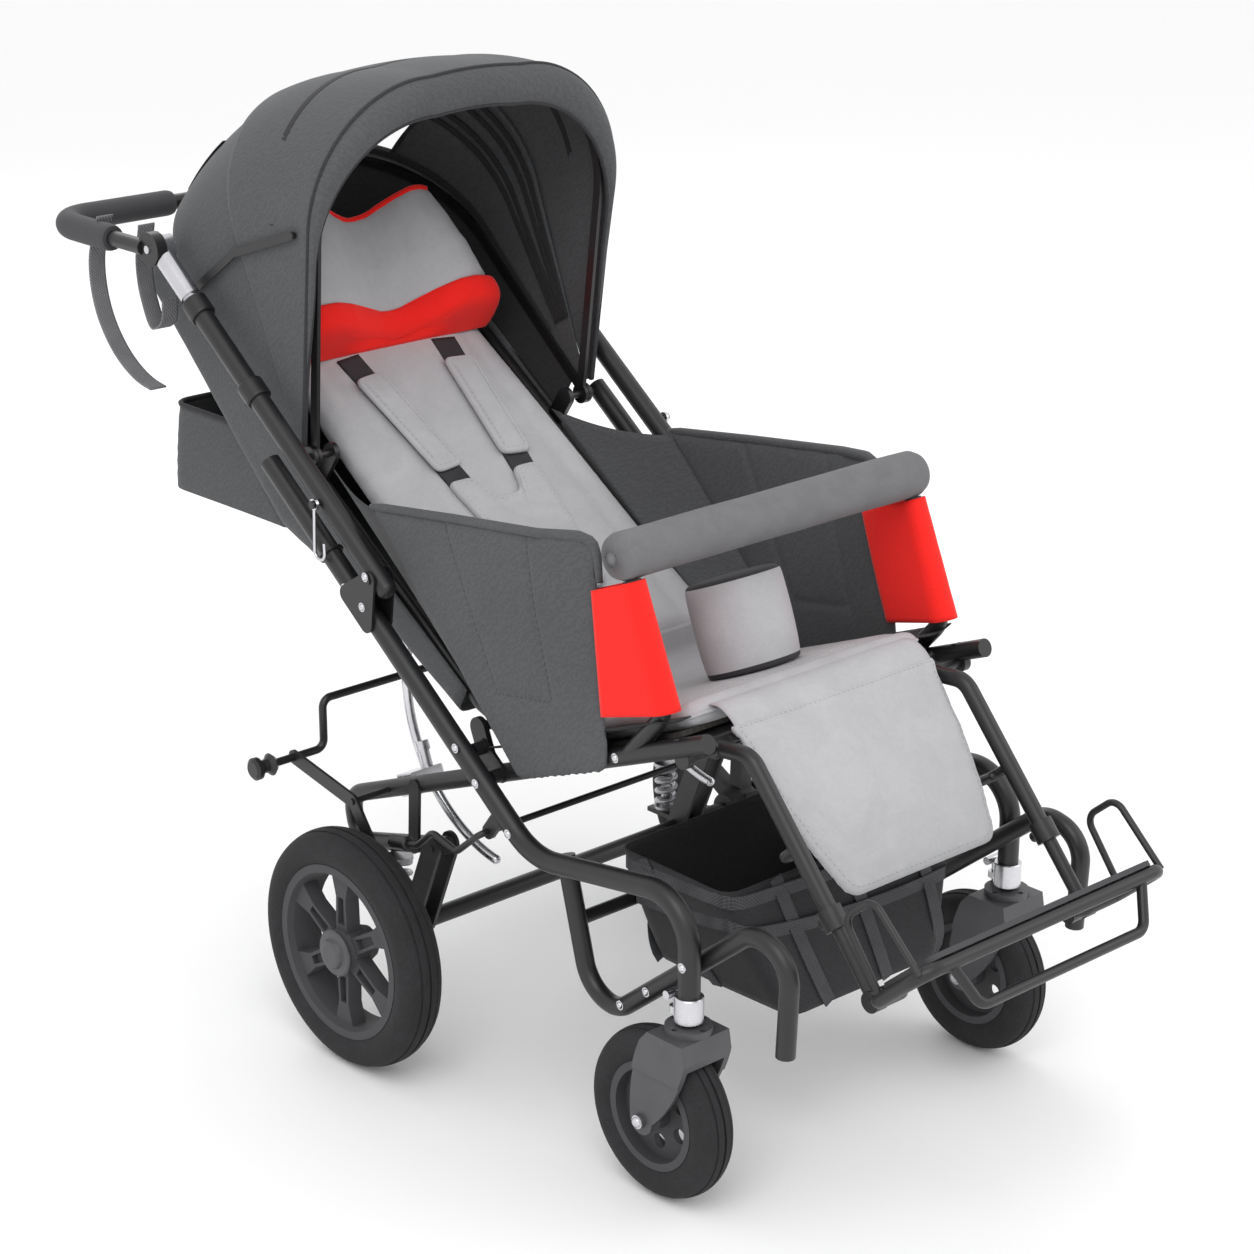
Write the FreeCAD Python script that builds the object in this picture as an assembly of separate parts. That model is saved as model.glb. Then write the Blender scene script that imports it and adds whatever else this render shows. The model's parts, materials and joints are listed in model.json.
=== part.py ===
import FreeCAD, Part
import math
import os

# Special needs stroller: two bent side frames on casters and a sprung rear axle,
# a folding push handle, a reclining backrest with a hood, a padded seat,
# a leg rest with a flip-up footplate, a front bar and a basket.
# Millimetres, Z up, the front points to -Y, the occupant's left is +X.
# Positions are worked out from the rear axle line and moved to the middle at the end.

# Wheels
REAR_WHEEL_R = 148.0
REAR_TYRE_W = 56.0
REAR_WHEEL_OUT = 60.0
RIM_R = 109.0
SPOKES = 6
CASTER_R = 100.0
CASTER_TYRE_W = 48.0
CASTER_TRAIL = 40.0
WHEELBASE = 517.0

# Side frames
FRAME_X = 262.0
REAR_WHEEL_X = FRAME_X + REAR_WHEEL_OUT
TUBE_R = 12.5
SMALL_R = 11.0
BACK_SLOPE = 37.0
POST_TOP = 372.0
LOW_CORNER = (-262.0, 333.0)
FRAME_DIAGONAL = 597.0
SEAT_SLOPE = 22.0
SEAT_ORIGIN = (-122.0, 439.0)
RAIL_X = 222.0
RAIL_DROP = 56.0
RAIL_FRONT = 385.0
RAIL_REAR = 290.0

# Push handle
HANDLE_RISE = 48.0
FOLD_AT = 376.0
HANDLE_TUBE = 440.0
HANDLE_JOINT = 529.0
HANDLE_DEPTH = 215.0
HANDLE_TRAVEL = 90.0
GRIP_R = 17.0

# Backrest, hood and seat
RECLINE = 34.0
BACK_LENGTH = 790.0
BACK_HALF = 178.0
BACK_THICK = 30.0
BAR_RADIUS = 190.0
BAR_X = 186.0
BACK_TUBE_R = 9.0
HOOD_PIVOT = (190.0, 695.0)
HOOD_HALF = 238.0
HOOD_R = 452.0
HOOD_REAR = 40.0
HOOD_SPLIT = 68.0
HOOD_FRONT = 97.0
HOOD_WALL = 4.0
SEAT_HALF = 196.0
SEAT_DEPTH = 332.0
SEAT_THICK = 27.0
SEAT_SINK = 15.0
POMMEL_H = 112.0

# Leg rest and footplate
LEG_X = 172.0
LEG_R = 10.0
LEG_SLOPE = 49.0
LEG_LENGTH = 205.0
FOOT_REACH = 84.0
LEG_SET_BACK = 27.0
LEG_SET_DOWN = 24.0
PLATE_HALF = 196.0
PLATE_DEPTH = 92.0

# Fits
RUN = 0.05
SEAT_GAP = 0.3
CLEAR = 1.0


def v(x, y, z):
    return FreeCAD.Vector(x, y, z)


X_AXIS = v(1, 0, 0)


def slope(deg):
    a = math.radians(deg)
    return v(0, math.cos(a), math.sin(a))


def square(deg):
    a = math.radians(deg)
    return v(0, -math.sin(a), math.cos(a))


# Lines that carry the layout
BACK_DIR = slope(BACK_SLOPE)
BACK_UP = square(BACK_SLOPE)
SEAT_DIR = slope(-SEAT_SLOPE)
SEAT_UP = square(-SEAT_SLOPE)
RECLINE_DIR = slope(RECLINE)
RECLINE_UP = square(RECLINE)
LEG_DIR = v(0, -math.cos(math.radians(LEG_SLOPE)), -math.sin(math.radians(LEG_SLOPE)))
LEG_UP = v(0, -math.sin(math.radians(LEG_SLOPE)), math.cos(math.radians(LEG_SLOPE)))

CORNER = v(FRAME_X, LOW_CORNER[0], LOW_CORNER[1])
FRAME_TOP = CORNER + BACK_DIR * FRAME_DIAGONAL
FOLD_PIN = CORNER + BACK_DIR * FOLD_AT + BACK_UP * HANDLE_RISE
SEAT_HINGE = v(0, SEAT_ORIGIN[0], SEAT_ORIGIN[1])
AXLE = v(0, 0, REAR_WHEEL_R)
CASTER_POST = v(FRAME_X, -WHEELBASE, 0)
CASTER_AXLE = v(FRAME_X, -WHEELBASE + CASTER_TRAIL, CASTER_R)
HANDLE_HINGE = FOLD_PIN + BACK_DIR * HANDLE_JOINT
HOOD_AXIS = v(0, HOOD_PIVOT[0], HOOD_PIVOT[1])


def seat_point(x, along, up):
    return v(x, 0, 0) + SEAT_HINGE + SEAT_DIR * along + SEAT_UP * up


def back_point(x, along, up):
    return v(x, 0, 0) + SEAT_HINGE + RECLINE_DIR * along + RECLINE_UP * up


RAIL_FRONT_END = seat_point(RAIL_X, -RAIL_FRONT, -RAIL_DROP)
RAIL_TURN = seat_point(RAIL_X, RAIL_REAR, -RAIL_DROP)
RAIL_LOW = RAIL_TURN + v(0, -12, -58)
SWING_PIN = RAIL_LOW + v(0, -162, 46)
BRAKE_PIN = seat_point(RAIL_X, RAIL_REAR - 93, -RAIL_DROP)
LEG_PIN = seat_point(0, -RAIL_FRONT + 9, -RAIL_DROP) + v(0, LEG_SET_BACK, -LEG_SET_DOWN)
LEG_BEND = LEG_PIN + v(0, -50, 4)
LEG_END = LEG_BEND + LEG_DIR * LEG_LENGTH
FOOT_HINGE = LEG_END + LEG_DIR * FOOT_REACH
LEVER_SHAFT = CORNER + BACK_DIR * 66 - BACK_UP * 40
HOOK_PIN = FOLD_PIN + BACK_DIR * 118


# Shape helpers
def mirrored(shape):
    return shape.mirror(v(0, 0, 0), X_AXIS)


def sides(shape):
    return [shape, mirrored(shape)]


def rod_path(points, bends):
    edges = []
    start = points[0]
    for i in range(1, len(points) - 1):
        a = points[i] - points[i - 1]
        b = points[i + 1] - points[i]
        a.normalize()
        b.normalize()
        turn = a.getAngle(b)
        reach = bends[i - 1] * math.tan(turn / 2)
        first = points[i] - a * reach
        last = points[i] + b * reach
        inward = b - a
        inward.normalize()
        middle = points[i] + inward * (bends[i - 1] / math.cos(turn / 2) - bends[i - 1])
        edges.append(Part.makeLine(start, first))
        edges.append(Part.Arc(first, middle, last).toShape())
        start = last
    edges.append(Part.makeLine(start, points[-1]))
    return Part.Wire(edges)


def rod(points, radius, bends=()):
    if isinstance(bends, (int, float)):
        bends = [bends] * (len(points) - 2)
    if len(points) == 2:
        return bar(points[0], points[1], radius)
    path = rod_path(points, bends)
    heading = points[1] - points[0]
    ring = Part.Wire([Part.makeCircle(radius, points[0], heading)])
    return path.makePipeShell([ring], True, True)


def bar(start, end, radius):
    length = end - start
    return Part.makeCylinder(radius, length.Length, start, length)


def box(x0, x1, y0, y1, z0, z1):
    return Part.makeBox(x1 - x0, y1 - y0, z1 - z0, v(x0, y0, z0))


def face(points):
    return Part.Face(Part.makePolygon(points + [points[0]]))


def link(p, q, radius, x0, x1):
    """Flat strip with round ends between two points of one side plane."""
    a = v(x0, p.y, p.z)
    b = v(x0, q.y, q.z)
    d = b - a
    d.normalize()
    n = v(0, -d.z, d.y)
    first = Part.Arc(b + n * radius, b + d * radius, b - n * radius).toShape()
    last = Part.Arc(a - n * radius, a - d * radius, a + n * radius).toShape()
    top = Part.makeLine(a + n * radius, b + n * radius)
    low = Part.makeLine(b - n * radius, a - n * radius)
    return Part.Face(Part.Wire([top, first, low, last])).extrude(v(x1 - x0, 0, 0))


def turned_x(points, centre, angle=360.0):
    """Solid turned about the cross axis, from (offset, radius) corners."""
    ring = [v(centre.x + p[0], centre.y, centre.z + p[1]) for p in points]
    return face(ring).revolve(centre, X_AXIS, angle)


def turned_z(points, x, y):
    ring = [v(x + p[0], y, p[1]) for p in points]
    return face(ring).revolve(v(x, y, 0), v(0, 0, 1), 360)


def cross_hole(shape, at, radius, x0, x1):
    return shape.cut(bar(v(x0, at.y, at.z), v(x1, at.y, at.z), radius))


def to_seat(shape):
    shape = shape.copy()
    shape.rotate(v(0, 0, 0), X_AXIS, -SEAT_SLOPE)
    shape.translate(SEAT_HINGE)
    return shape


def to_back(shape):
    shape = shape.copy()
    shape.rotate(v(0, 0, 0), X_AXIS, RECLINE)
    shape.translate(SEAT_HINGE)
    return shape


def rounded(shape, radius, wanted):
    edges = [e for e in shape.Edges if wanted(e)]
    return shape.makeFillet(radius, edges)


def cushion(half_front, half_rear, front, rear, low, thick, crown, edge):
    """Pad with a crowned top, drawn-in sides and rolled ends."""
    rings = []
    for y, half in ((front, half_front), (rear, half_rear)):
        side = half - edge
        a = v(-side, y, low)
        b = v(side, y, low)
        c = v(side, y, low + thick)
        d = v(-side, y, low + thick)
        right = Part.Arc(b, v(half, y, low + thick * 0.42), c).toShape()
        top = Part.Arc(c, v(0, y, low + thick + crown), d).toShape()
        left = Part.Arc(d, v(-half, y, low + thick * 0.42), a).toShape()
        rings.append(Part.Wire([Part.makeLine(a, b), right, top, left]))
    pad = Part.makeLoft(rings, True, True)

    def at_end(e):
        c = e.BoundBox
        flat = c.YLength < 0.01
        return flat and c.ZMax > low + thick - 0.01 and c.ZLength < crown + 0.01

    return rounded(pad, edge, at_end)


def channel(half, y, z, radius):
    return bar(v(-half, y, z), v(half, y, z), radius)


# Side frames
def main_tube():
    points = [
        v(FRAME_X, -WHEELBASE, 243),
        v(FRAME_X, -WHEELBASE, POST_TOP),
        CORNER,
        FRAME_TOP,
    ]
    tube = rod(points, TUBE_R, [55, 90])
    on_tube = CORNER + BACK_DIR * 66
    tab = link(on_tube, LEVER_SHAFT, 9, FRAME_X - 3, FRAME_X + 3)
    tube = tube.fuse(tab)
    keeper = CORNER + BACK_DIR * 452
    ring = Part.makeTorus(TUBE_R + 1.5, 2.2, keeper, BACK_DIR)
    ring = ring.cut(bar(keeper - BACK_DIR * 10, keeper + BACK_DIR * 10, TUBE_R))
    tube = tube.fuse(ring)
    return cross_hole(tube, LEVER_SHAFT, 4 + RUN, FRAME_X - 9, FRAME_X + 9).removeSplitter()


LOW_X = FRAME_X - TUBE_R - SMALL_R - SEAT_GAP
CROSS_AT = v(0, CORNER.y - 42, CORNER.z - 71)


def lower_tube():
    x = LOW_X
    foot = CORNER.z - 153
    reach = v(x, -WHEELBASE, CORNER.z - 55)
    points = [
        v(x, CORNER.y - 28, CORNER.z + 6),
        v(x, CORNER.y - 71, foot),
        v(x, CORNER.y - 121, foot + 2),
        reach + v(0, -71, 70),
        reach + v(0, -128, 57),
        v(x, -WHEELBASE - 123, CORNER.z - 111),
    ]
    tube = rod(points, SMALL_R, [50, 40, 40, 40])
    end = points[-1]
    return tube.cut(bar(end - v(0, 0, 1), end + v(0, 0, 25), SMALL_R - 2))


def cross_tubes():
    half = LOW_X - SMALL_R + 3
    low = v(0, CROSS_AT.y, CROSS_AT.z)
    tube = bar(low - X_AXIS * half, low + X_AXIS * half, 8)
    sleeve = bar(low - X_AXIS * 90, low + X_AXIS * 20, 11)
    tube = tube.fuse(sleeve)
    for lower in sides(rod_zone()):
        tube = tube.cut(lower)
    return [tube.removeSplitter()]


def rod_zone():
    a = v(LOW_X, CORNER.y - 28, CORNER.z + 6)
    b = v(LOW_X, CORNER.y - 71, CORNER.z - 153)
    return bar(a, b, SMALL_R + 0.1)


def side_frame():
    tail = SWING_PIN - RAIL_LOW
    tail.normalize()
    points = [RAIL_FRONT_END, RAIL_TURN, RAIL_LOW, SWING_PIN + tail * 13]
    tube = rod(points, SMALL_R, [26, 26])
    high = seat_point(RAIL_X, RAIL_REAR - 150, -RAIL_DROP)
    low = SWING_PIN - tail * 40
    strap = link(high, low, 9, RAIL_X + 8.5, RAIL_X + 13)
    tube = tube.fuse(strap)
    stud = bar(v(RAIL_X + 5, BRAKE_PIN.y, BRAKE_PIN.z), v(289, BRAKE_PIN.y, BRAKE_PIN.z), 4)
    tube = tube.fuse(stud)
    leg_stud = bar(v(LEG_X - 11, LEG_PIN.y, LEG_PIN.z), v(RAIL_X, LEG_PIN.y, LEG_PIN.z), 5)
    tube = tube.fuse(leg_stud)
    under = seat_point(0, (LEG_PIN - SEAT_HINGE).dot(SEAT_DIR), -RAIL_DROP)
    tube = tube.fuse(link(under, LEG_PIN, 11, RAIL_X - 5, RAIL_X + 5))
    pin = bar(v(RAIL_X - 18, SWING_PIN.y, SWING_PIN.z), v(RAIL_X + 18, SWING_PIN.y, SWING_PIN.z), 5)
    tube = tube.fuse(pin)
    for piece in crossing_bracket():
        tube = tube.fuse(piece)
    return tube.fuse(hinge_lug()).removeSplitter()


def crossing_bracket():
    """Plate on the rail and two spacers that hold it to the main tube where they cross."""
    foot = seat_point(RAIL_X, 0, -RAIL_DROP) - CORNER
    turn = math.radians(BACK_SLOPE + SEAT_SLOPE)
    along = foot.dot(BACK_UP) / math.sin(turn)
    first = foot.dot(BACK_DIR) + along * math.cos(turn)
    low = CORNER + BACK_DIR * first
    high = CORNER + BACK_DIR * (first + 40)
    pieces = [link(low, high, 10, RAIL_X + 8.5, RAIL_X + 13)]
    for p in (low, high):
        start = v(RAIL_X + 9, p.y, p.z)
        end = v(FRAME_X - TUBE_R - SEAT_GAP, p.y, p.z)
        pieces.append(bar(start, end, 8))
    return pieces


def seat_bars():
    out = []
    rail = bar(RAIL_FRONT_END, RAIL_TURN, SMALL_R + 0.1)
    for along in (-SEAT_DEPTH + 26, -62):
        p = seat_point(0, along, -RAIL_DROP)
        half = X_AXIS * (RAIL_X - SMALL_R + 3)
        piece = bar(p - half, p + half, 8)
        for zone in sides(rail):
            piece = piece.cut(zone)
        out.append(piece)
    return out


def seat_board():
    top = -SEAT_SINK - SEAT_THICK + 0.6
    low = -RAIL_DROP + 8 + SEAT_GAP
    half = RAIL_X - SMALL_R - 6
    plate = box(-half, half, -SEAT_DEPTH + 12, -14, low, top - SEAT_GAP)
    plate = rounded(plate, 20, lambda e: e.BoundBox.ZLength > top - SEAT_GAP - low - 0.01)
    return to_seat(plate)


def armrest_tube():
    foot = seat_point(RAIL_X, -RAIL_FRONT + 135, -RAIL_DROP)
    knee = foot + v(0, -60, 66)
    top = knee + v(0, 55, 138)
    tube = rod([foot, knee, top], LEG_R, [32])
    tube = tube.cut(bar(RAIL_FRONT_END, RAIL_TURN, SMALL_R + 0.1))
    return tube, knee, top


ARM_TOP = seat_point(RAIL_X, -RAIL_FRONT + 135, -RAIL_DROP) + v(0, -5, 204)
ARM_DIR = v(0, 55, 138)
ARM_DIR.normalize()
BUMPER_R = 27.0
BUMPER_HALF = 243.0
BUMPER_AT = ARM_TOP + ARM_DIR * (BUMPER_R + SEAT_GAP)


def armrest_tubes():
    tube, knee, top = armrest_tube()
    bore = bar(top - ARM_DIR * 45, top + ARM_DIR, 7 + RUN)
    return [tube.cut(bore), mirrored(tube)]


# Rear axle and wheels
def axle_beam():
    half = REAR_WHEEL_X - 31
    beam = bar(AXLE - X_AXIS * half, AXLE + X_AXIS * half, 11)
    stub = bar(AXLE - X_AXIS * (REAR_WHEEL_X + 23), AXLE + X_AXIS * (REAR_WHEEL_X + 23), 6)
    shoulder = bar(AXLE - X_AXIS * (half + 6.6), AXLE + X_AXIS * (half + 6.6), 9)
    beam = beam.fuse(stub).fuse(shoulder)
    out = RAIL_X + SMALL_R + 0.5
    inn = RAIL_X - SMALL_R - 0.5
    plates = []
    for x0 in (out, inn - 5):
        plates.append(link(SWING_PIN, AXLE, 14, x0, x0 + 5))
    shelf = box(inn - 5, out + 5, -4, 50, AXLE.z + 9, AXLE.z + 15)
    for piece in plates + [shelf]:
        for each in sides(piece):
            beam = beam.fuse(each)
    span = X_AXIS * (RAIL_X + 40)
    pin_at = v(0, SWING_PIN.y, SWING_PIN.z)
    hole = bar(pin_at - span, pin_at + span, 5 + RUN)
    return beam.cut(hole).removeSplitter()


def spring():
    low = AXLE.z + 15 + SEAT_GAP
    run = SWING_PIN - RAIL_LOW
    at = 32.0
    over = RAIL_LOW.z + run.z * (at - RAIL_LOW.y) / run.y
    fall = math.atan2(run.z, -run.y)
    top = over - SMALL_R / math.cos(fall) - 16 * math.tan(fall) - SEAT_GAP
    wire = 3.2
    height = top - low - 2 * wire - 2.0
    coil = Part.makeHelix(height / 4.0, height, 12.0)
    coil.translate(v(RAIL_X, at, low + wire + 1.0))
    ring = Part.Wire([Part.makeCircle(wire, v(RAIL_X + 12, at, low + wire + 1.0), v(0, 1, 0))])
    body = Part.Wire(coil.Edges).makePipeShell([ring], True, True)
    lower = Part.makeCylinder(16, wire + 1, v(RAIL_X, at, low))
    post = Part.makeCylinder(6, height * 0.55, v(RAIL_X, at, low))
    upper = Part.makeCylinder(16, wire + 2, v(RAIL_X, at, top - wire - 2))
    return body.fuse(lower).fuse(post).fuse(upper).removeSplitter()


def tyre(centre, radius, width, bead):
    half = width / 2
    y = centre.y

    def at(x, r):
        return v(centre.x + x, y, centre.z + r)

    belly = (radius + bead) / 2 - 2
    flat = radius - (radius - bead) * 0.16
    a = at(-half + 5, bead)
    b = at(-half + 7, flat)
    c = at(half - 7, flat)
    d = at(half - 5, bead)
    edges = [
        Part.Arc(a, at(-half, belly), b).toShape(),
        Part.Arc(b, at(0, radius), c).toShape(),
        Part.Arc(c, at(half, belly), d).toShape(),
        Part.makeLine(d, a),
    ]
    ring = Part.Face(Part.Wire(edges)).revolve(centre, X_AXIS, 360)
    for x in (-half * 0.42, 0.0, half * 0.42):
        r = radius - abs(x) * 0.06 - 2.2
        brim = radius + 3
        groove = turned_x([(x - 1.6, r), (x + 1.6, r), (x + 1.6, brim), (x - 1.6, brim)], centre)
        ring = ring.cut(groove)
    return ring


def rear_rim(centre):
    r = RIM_R - 0.2
    half = REAR_TYRE_W / 2 - 4
    barrel = turned_x(
        [(-half, r - 12), (-half, r), (half, r), (half, r - 10), (half - 8, r - 13), (-half + 8, r - 13)],
        centre)
    hub = turned_x([(-24, 0), (-24, 20), (-6, 27), (14, 27), (24, 22), (24, 0)], centre)
    wheel = barrel.fuse(hub)
    for i in range(SPOKES):
        arm = face([
            centre + v(-4, -11, 18),
            centre + v(-4, 11, 18),
            centre + v(-4, 9, r - 40),
            centre + v(-4, 17, r - 11),
            centre + v(-4, -17, r - 11),
            centre + v(-4, -9, r - 40),
        ]).extrude(v(20, 0, 0))
        pocket = face([
            centre + v(9, -6.5, 34),
            centre + v(9, 6.5, 34),
            centre + v(9, 5, r - 40),
            centre + v(9, -5, r - 40),
        ]).extrude(v(20, 0, 0))
        arm = arm.cut(pocket)
        arm.rotate(centre, X_AXIS, 360.0 * i / SPOKES)
        wheel = wheel.fuse(arm)
    bore = bar(centre - X_AXIS * 60, centre + X_AXIS * 60, 6 + RUN)
    return wheel.cut(bore).removeSplitter()


def hub_cap(centre):
    return turned_x(
        [(24 + SEAT_GAP, 0), (24 + SEAT_GAP, 28), (27, 29), (29, 27),
         (30, 19), (34, 17), (35.5, 13), (35.5, 0)],
        centre)


# Casters
HEAD_LOW = 226.0
HEAD_TOP = 256.0
CROWN_TOP = 214.0
FLANGE_TOP = 222.0
LOCK_R = 21.5


def caster_head():
    x = FRAME_X
    y = -WHEELBASE
    ring = turned_z(
        [(8 + RUN, HEAD_LOW), (15.5, HEAD_LOW), (16.5, HEAD_LOW + 1),
         (16.5, HEAD_TOP - 1), (15.5, HEAD_TOP),
         (TUBE_R + RUN, HEAD_TOP), (TUBE_R + RUN, 242.7), (8 + RUN, 242.7)], x, y)
    lug = box(x - 6, x + 6, y + 13, y + LOCK_R + 6, HEAD_LOW + 3, HEAD_LOW + 11)
    lug = rounded(lug, 5, lambda e: e.BoundBox.ZLength > 7.9 and e.BoundBox.YMax > y + LOCK_R)
    ring = ring.fuse(lug)
    cap = Part.makeCylinder(TUBE_R + RUN, 13.0, v(x, y, 243))
    ring = ring.cut(cap)
    hole = Part.makeCylinder(2.5 + RUN, 30, v(x, y + LOCK_R, HEAD_LOW - 8))
    return ring.cut(hole).removeSplitter()


def lock_pin():
    x = FRAME_X
    y = -WHEELBASE + LOCK_R
    pin = Part.makeCylinder(2.5, 26, v(x, y, FLANGE_TOP + 1))
    shoulder = Part.makeCylinder(4, 3, v(x, y, HEAD_LOW + 21))
    grip = bar(v(x - 14, y, HEAD_LOW + 27), v(x + 14, y, HEAD_LOW + 27), 5)
    return pin.fuse(shoulder).fuse(grip).removeSplitter()


def caster_fork():
    x = FRAME_X
    half = CASTER_TYRE_W / 2
    out = half + 12
    yp = -WHEELBASE
    ya = CASTER_AXLE.y
    za = CASTER_R
    boss = 17.0
    top = CROWN_TOP
    front = Part.makeLine(v(x - out, yp - 26, top), v(x - out, yp - 30, top - 22))
    lean = Part.Arc(
        v(x - out, yp - 30, top - 22), v(x - out, yp - 12, za + 46), v(x - out, ya - boss, za)).toShape()
    low = Part.Arc(v(x - out, ya - boss, za), v(x - out, ya, za - boss), v(x - out, ya + boss, za)).toShape()
    back = Part.Arc(
        v(x - out, ya + boss, za), v(x - out, ya + 13, za + 60), v(x - out, yp + 40, top - 14)).toShape()
    rise = Part.makeLine(v(x - out, yp + 40, top - 14), v(x - out, yp + 28, top))
    flat = Part.makeLine(v(x - out, yp + 28, top), v(x - out, yp - 26, top))
    body = Part.Face(Part.Wire([front, lean, low, back, rise, flat])).extrude(v(2 * out, 0, 0))
    space = bar(v(x - half - 4, ya, za), v(x + half + 4, ya, za), CASTER_R + 6)
    body = body.cut(space)
    waist = box(x - out - 1, x - half - 9, yp - 60, ya + 60, 0, za + 62)
    for cut in (waist, waist.mirror(v(x, 0, 0), X_AXIS)):
        body = body.cut(cut)
    flange = Part.makeCylinder(26.5, FLANGE_TOP - top, v(x, yp, top))
    for i in range(4):
        a = math.pi / 2 * i
        notch = Part.makeCylinder(3.2, 20, v(x + LOCK_R * math.sin(a), yp + LOCK_R * math.cos(a), top))
        flange = flange.cut(notch)
    stem = Part.makeCylinder(8, 241 - top, v(x, yp, top))
    body = body.fuse(flange).fuse(stem)
    pin = bar(v(x - half - 14, ya, za), v(x + half + 14, ya, za), 5)
    heads = bar(v(x - half - 14, ya, za), v(x - half - 9, ya, za), 8)
    heads = heads.fuse(heads.mirror(v(x, 0, 0), X_AXIS))
    return body.fuse(pin).fuse(heads).removeSplitter()


def caster_rim():
    c = CASTER_AXLE
    half = CASTER_TYRE_W / 2
    r = CASTER_R - 36.2
    barrel = turned_x(
        [(-half + 4, r - 9), (-half + 4, r), (half - 4, r), (half - 4, r - 9)], c)
    hub = turned_x([
        (-half - 3, 0), (-half - 3, 12), (-half + 4, 17), (half - 4, 17), (half + 3, 12), (half + 3, 0)], c)
    web = turned_x([(-4, 12), (-4, r - 6), (4, r - 6), (4, 12)], c)
    wheel = barrel.fuse(hub).fuse(web)
    for i in range(SPOKES):
        hole = bar(c + v(-10, 0, 36), c + v(10, 0, 36), 9)
        hole.rotate(c, X_AXIS, 360.0 * i / SPOKES)
        wheel = wheel.cut(hole)
    bore = bar(c - X_AXIS * 60, c + X_AXIS * 60, 5 + RUN)
    return wheel.cut(bore).removeSplitter()


# Push handle
def fold_plate():
    low = CORNER + BACK_DIR * (FOLD_AT - 28)
    high = CORNER + BACK_DIR * (FOLD_AT + 18)
    out = FRAME_X + TUBE_R + SEAT_GAP
    inn = FRAME_X - TUBE_R - SEAT_GAP
    pieces = []
    for x0 in (out, inn - 3):
        plate = link(low, high, 11, x0, x0 + 3)
        plate = plate.fuse(link(low, FOLD_PIN, 11, x0, x0 + 3))
        plate = plate.fuse(link(high, FOLD_PIN, 11, x0, x0 + 3))
        core = [v(x0, p.y, p.z) for p in (low, high, FOLD_PIN)]
        plate = plate.fuse(face(core).extrude(v(3, 0, 0)))
        pieces.append(plate)
    pin = bar(v(inn - 5, FOLD_PIN.y, FOLD_PIN.z), v(out + 5, FOLD_PIN.y, FOLD_PIN.z), 5)
    return pieces[0].fuse(pieces[1]).fuse(pin).removeSplitter()


def handle_tube():
    tail = FOLD_PIN - BACK_DIR * 26
    tube = bar(tail, FOLD_PIN + BACK_DIR * HANDLE_TUBE, TUBE_R)
    tube = rounded(tube, 8, lambda e: e.BoundBox.ZMax < FOLD_PIN.z)
    start = FOLD_PIN + BACK_DIR * 225
    tube = tube.cut(bar(start, FOLD_PIN + BACK_DIR * (HANDLE_TUBE + 1), 10 + RUN))
    stud = bar(v(FRAME_X + 6, HOOK_PIN.y, HOOK_PIN.z), v(FRAME_X + 22, HOOK_PIN.y, HOOK_PIN.z), 3)
    head = bar(v(FRAME_X + 22, HOOK_PIN.y, HOOK_PIN.z), v(FRAME_X + 24, HOOK_PIN.y, HOOK_PIN.z), 5)
    tube = tube.fuse(stud).fuse(head)
    return cross_hole(tube, FOLD_PIN, 5 + RUN, FRAME_X - 20, FRAME_X + 20).removeSplitter()


def handle_collar(at):
    start = FOLD_PIN + BACK_DIR * (at - 13)
    end = FOLD_PIN + BACK_DIR * (at + 13)
    ring = bar(start, end, TUBE_R + 4)
    ring = rounded(ring, 2.5, lambda e: e.Curve.TypeId == "Part::GeomCircle")
    middle = FOLD_PIN + BACK_DIR * at
    ear = bar(middle, middle - BACK_UP * (TUBE_R + 9), 6)
    ring = ring.fuse(ear)
    return ring.cut(bar(start - BACK_DIR, end + BACK_DIR, TUBE_R + RUN)).removeSplitter()


def handle_slide():
    start = FOLD_PIN + BACK_DIR * (HANDLE_TUBE - 95 - HANDLE_TRAVEL)
    sleeve = FOLD_PIN + BACK_DIR * (HANDLE_TUBE + 6)
    tube = bar(start, HANDLE_HINGE, 10)
    tube = tube.fuse(bar(sleeve, HANDLE_HINGE - BACK_DIR * 16, 13))
    at = v(FRAME_X, HANDLE_HINGE.y, HANDLE_HINGE.z)
    disc = bar(at - X_AXIS * 14, at - X_AXIS * 0.2, 20)
    pin = bar(at - X_AXIS * 15, at + X_AXIS * 17, 5)
    room = bar(v(FRAME_X - 0.2, HANDLE_HINGE.y, HANDLE_HINGE.z),
               v(FRAME_X + 20, HANDLE_HINGE.y, HANDLE_HINGE.z), 22.5)
    return tube.cut(room).fuse(disc).fuse(pin).removeSplitter()


ARM_X = FRAME_X + SMALL_R - 0.5


def handle_path():
    a = v(ARM_X, HANDLE_HINGE.y, HANDLE_HINGE.z)
    b = a + v(0, HANDLE_DEPTH, 0)
    return [a, b, v(-b.x, b.y, b.z), v(-a.x, a.y, a.z)]


def handle_bar():
    points = handle_path()
    tube = rod([points[0] + v(0, 14, 0)] + points[1:3] + [points[3] + v(0, 14, 0)], SMALL_R - 1, [48, 48])
    for side in (1, -1):
        at = v(side * (FRAME_X + 0.2), HANDLE_HINGE.y, HANDLE_HINGE.z)
        disc = bar(at, at + X_AXIS * (side * 14.5), 21)
        hole = bar(at - X_AXIS * side, at + X_AXIS * (side * 16), 5 + RUN)
        tube = tube.fuse(disc.cut(hole))
    return tube.removeSplitter()


def handle_grip():
    points = handle_path()
    start = points[0] + v(0, 82, 0)
    end = v(96, points[1].y, points[1].z)
    foam = rod([start, points[1], end], GRIP_R, [48])
    core = rod([start - v(0, 2, 0), points[1], end - X_AXIS * 2], SMALL_R - 1 + RUN, [48])
    return foam.cut(core)


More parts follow.
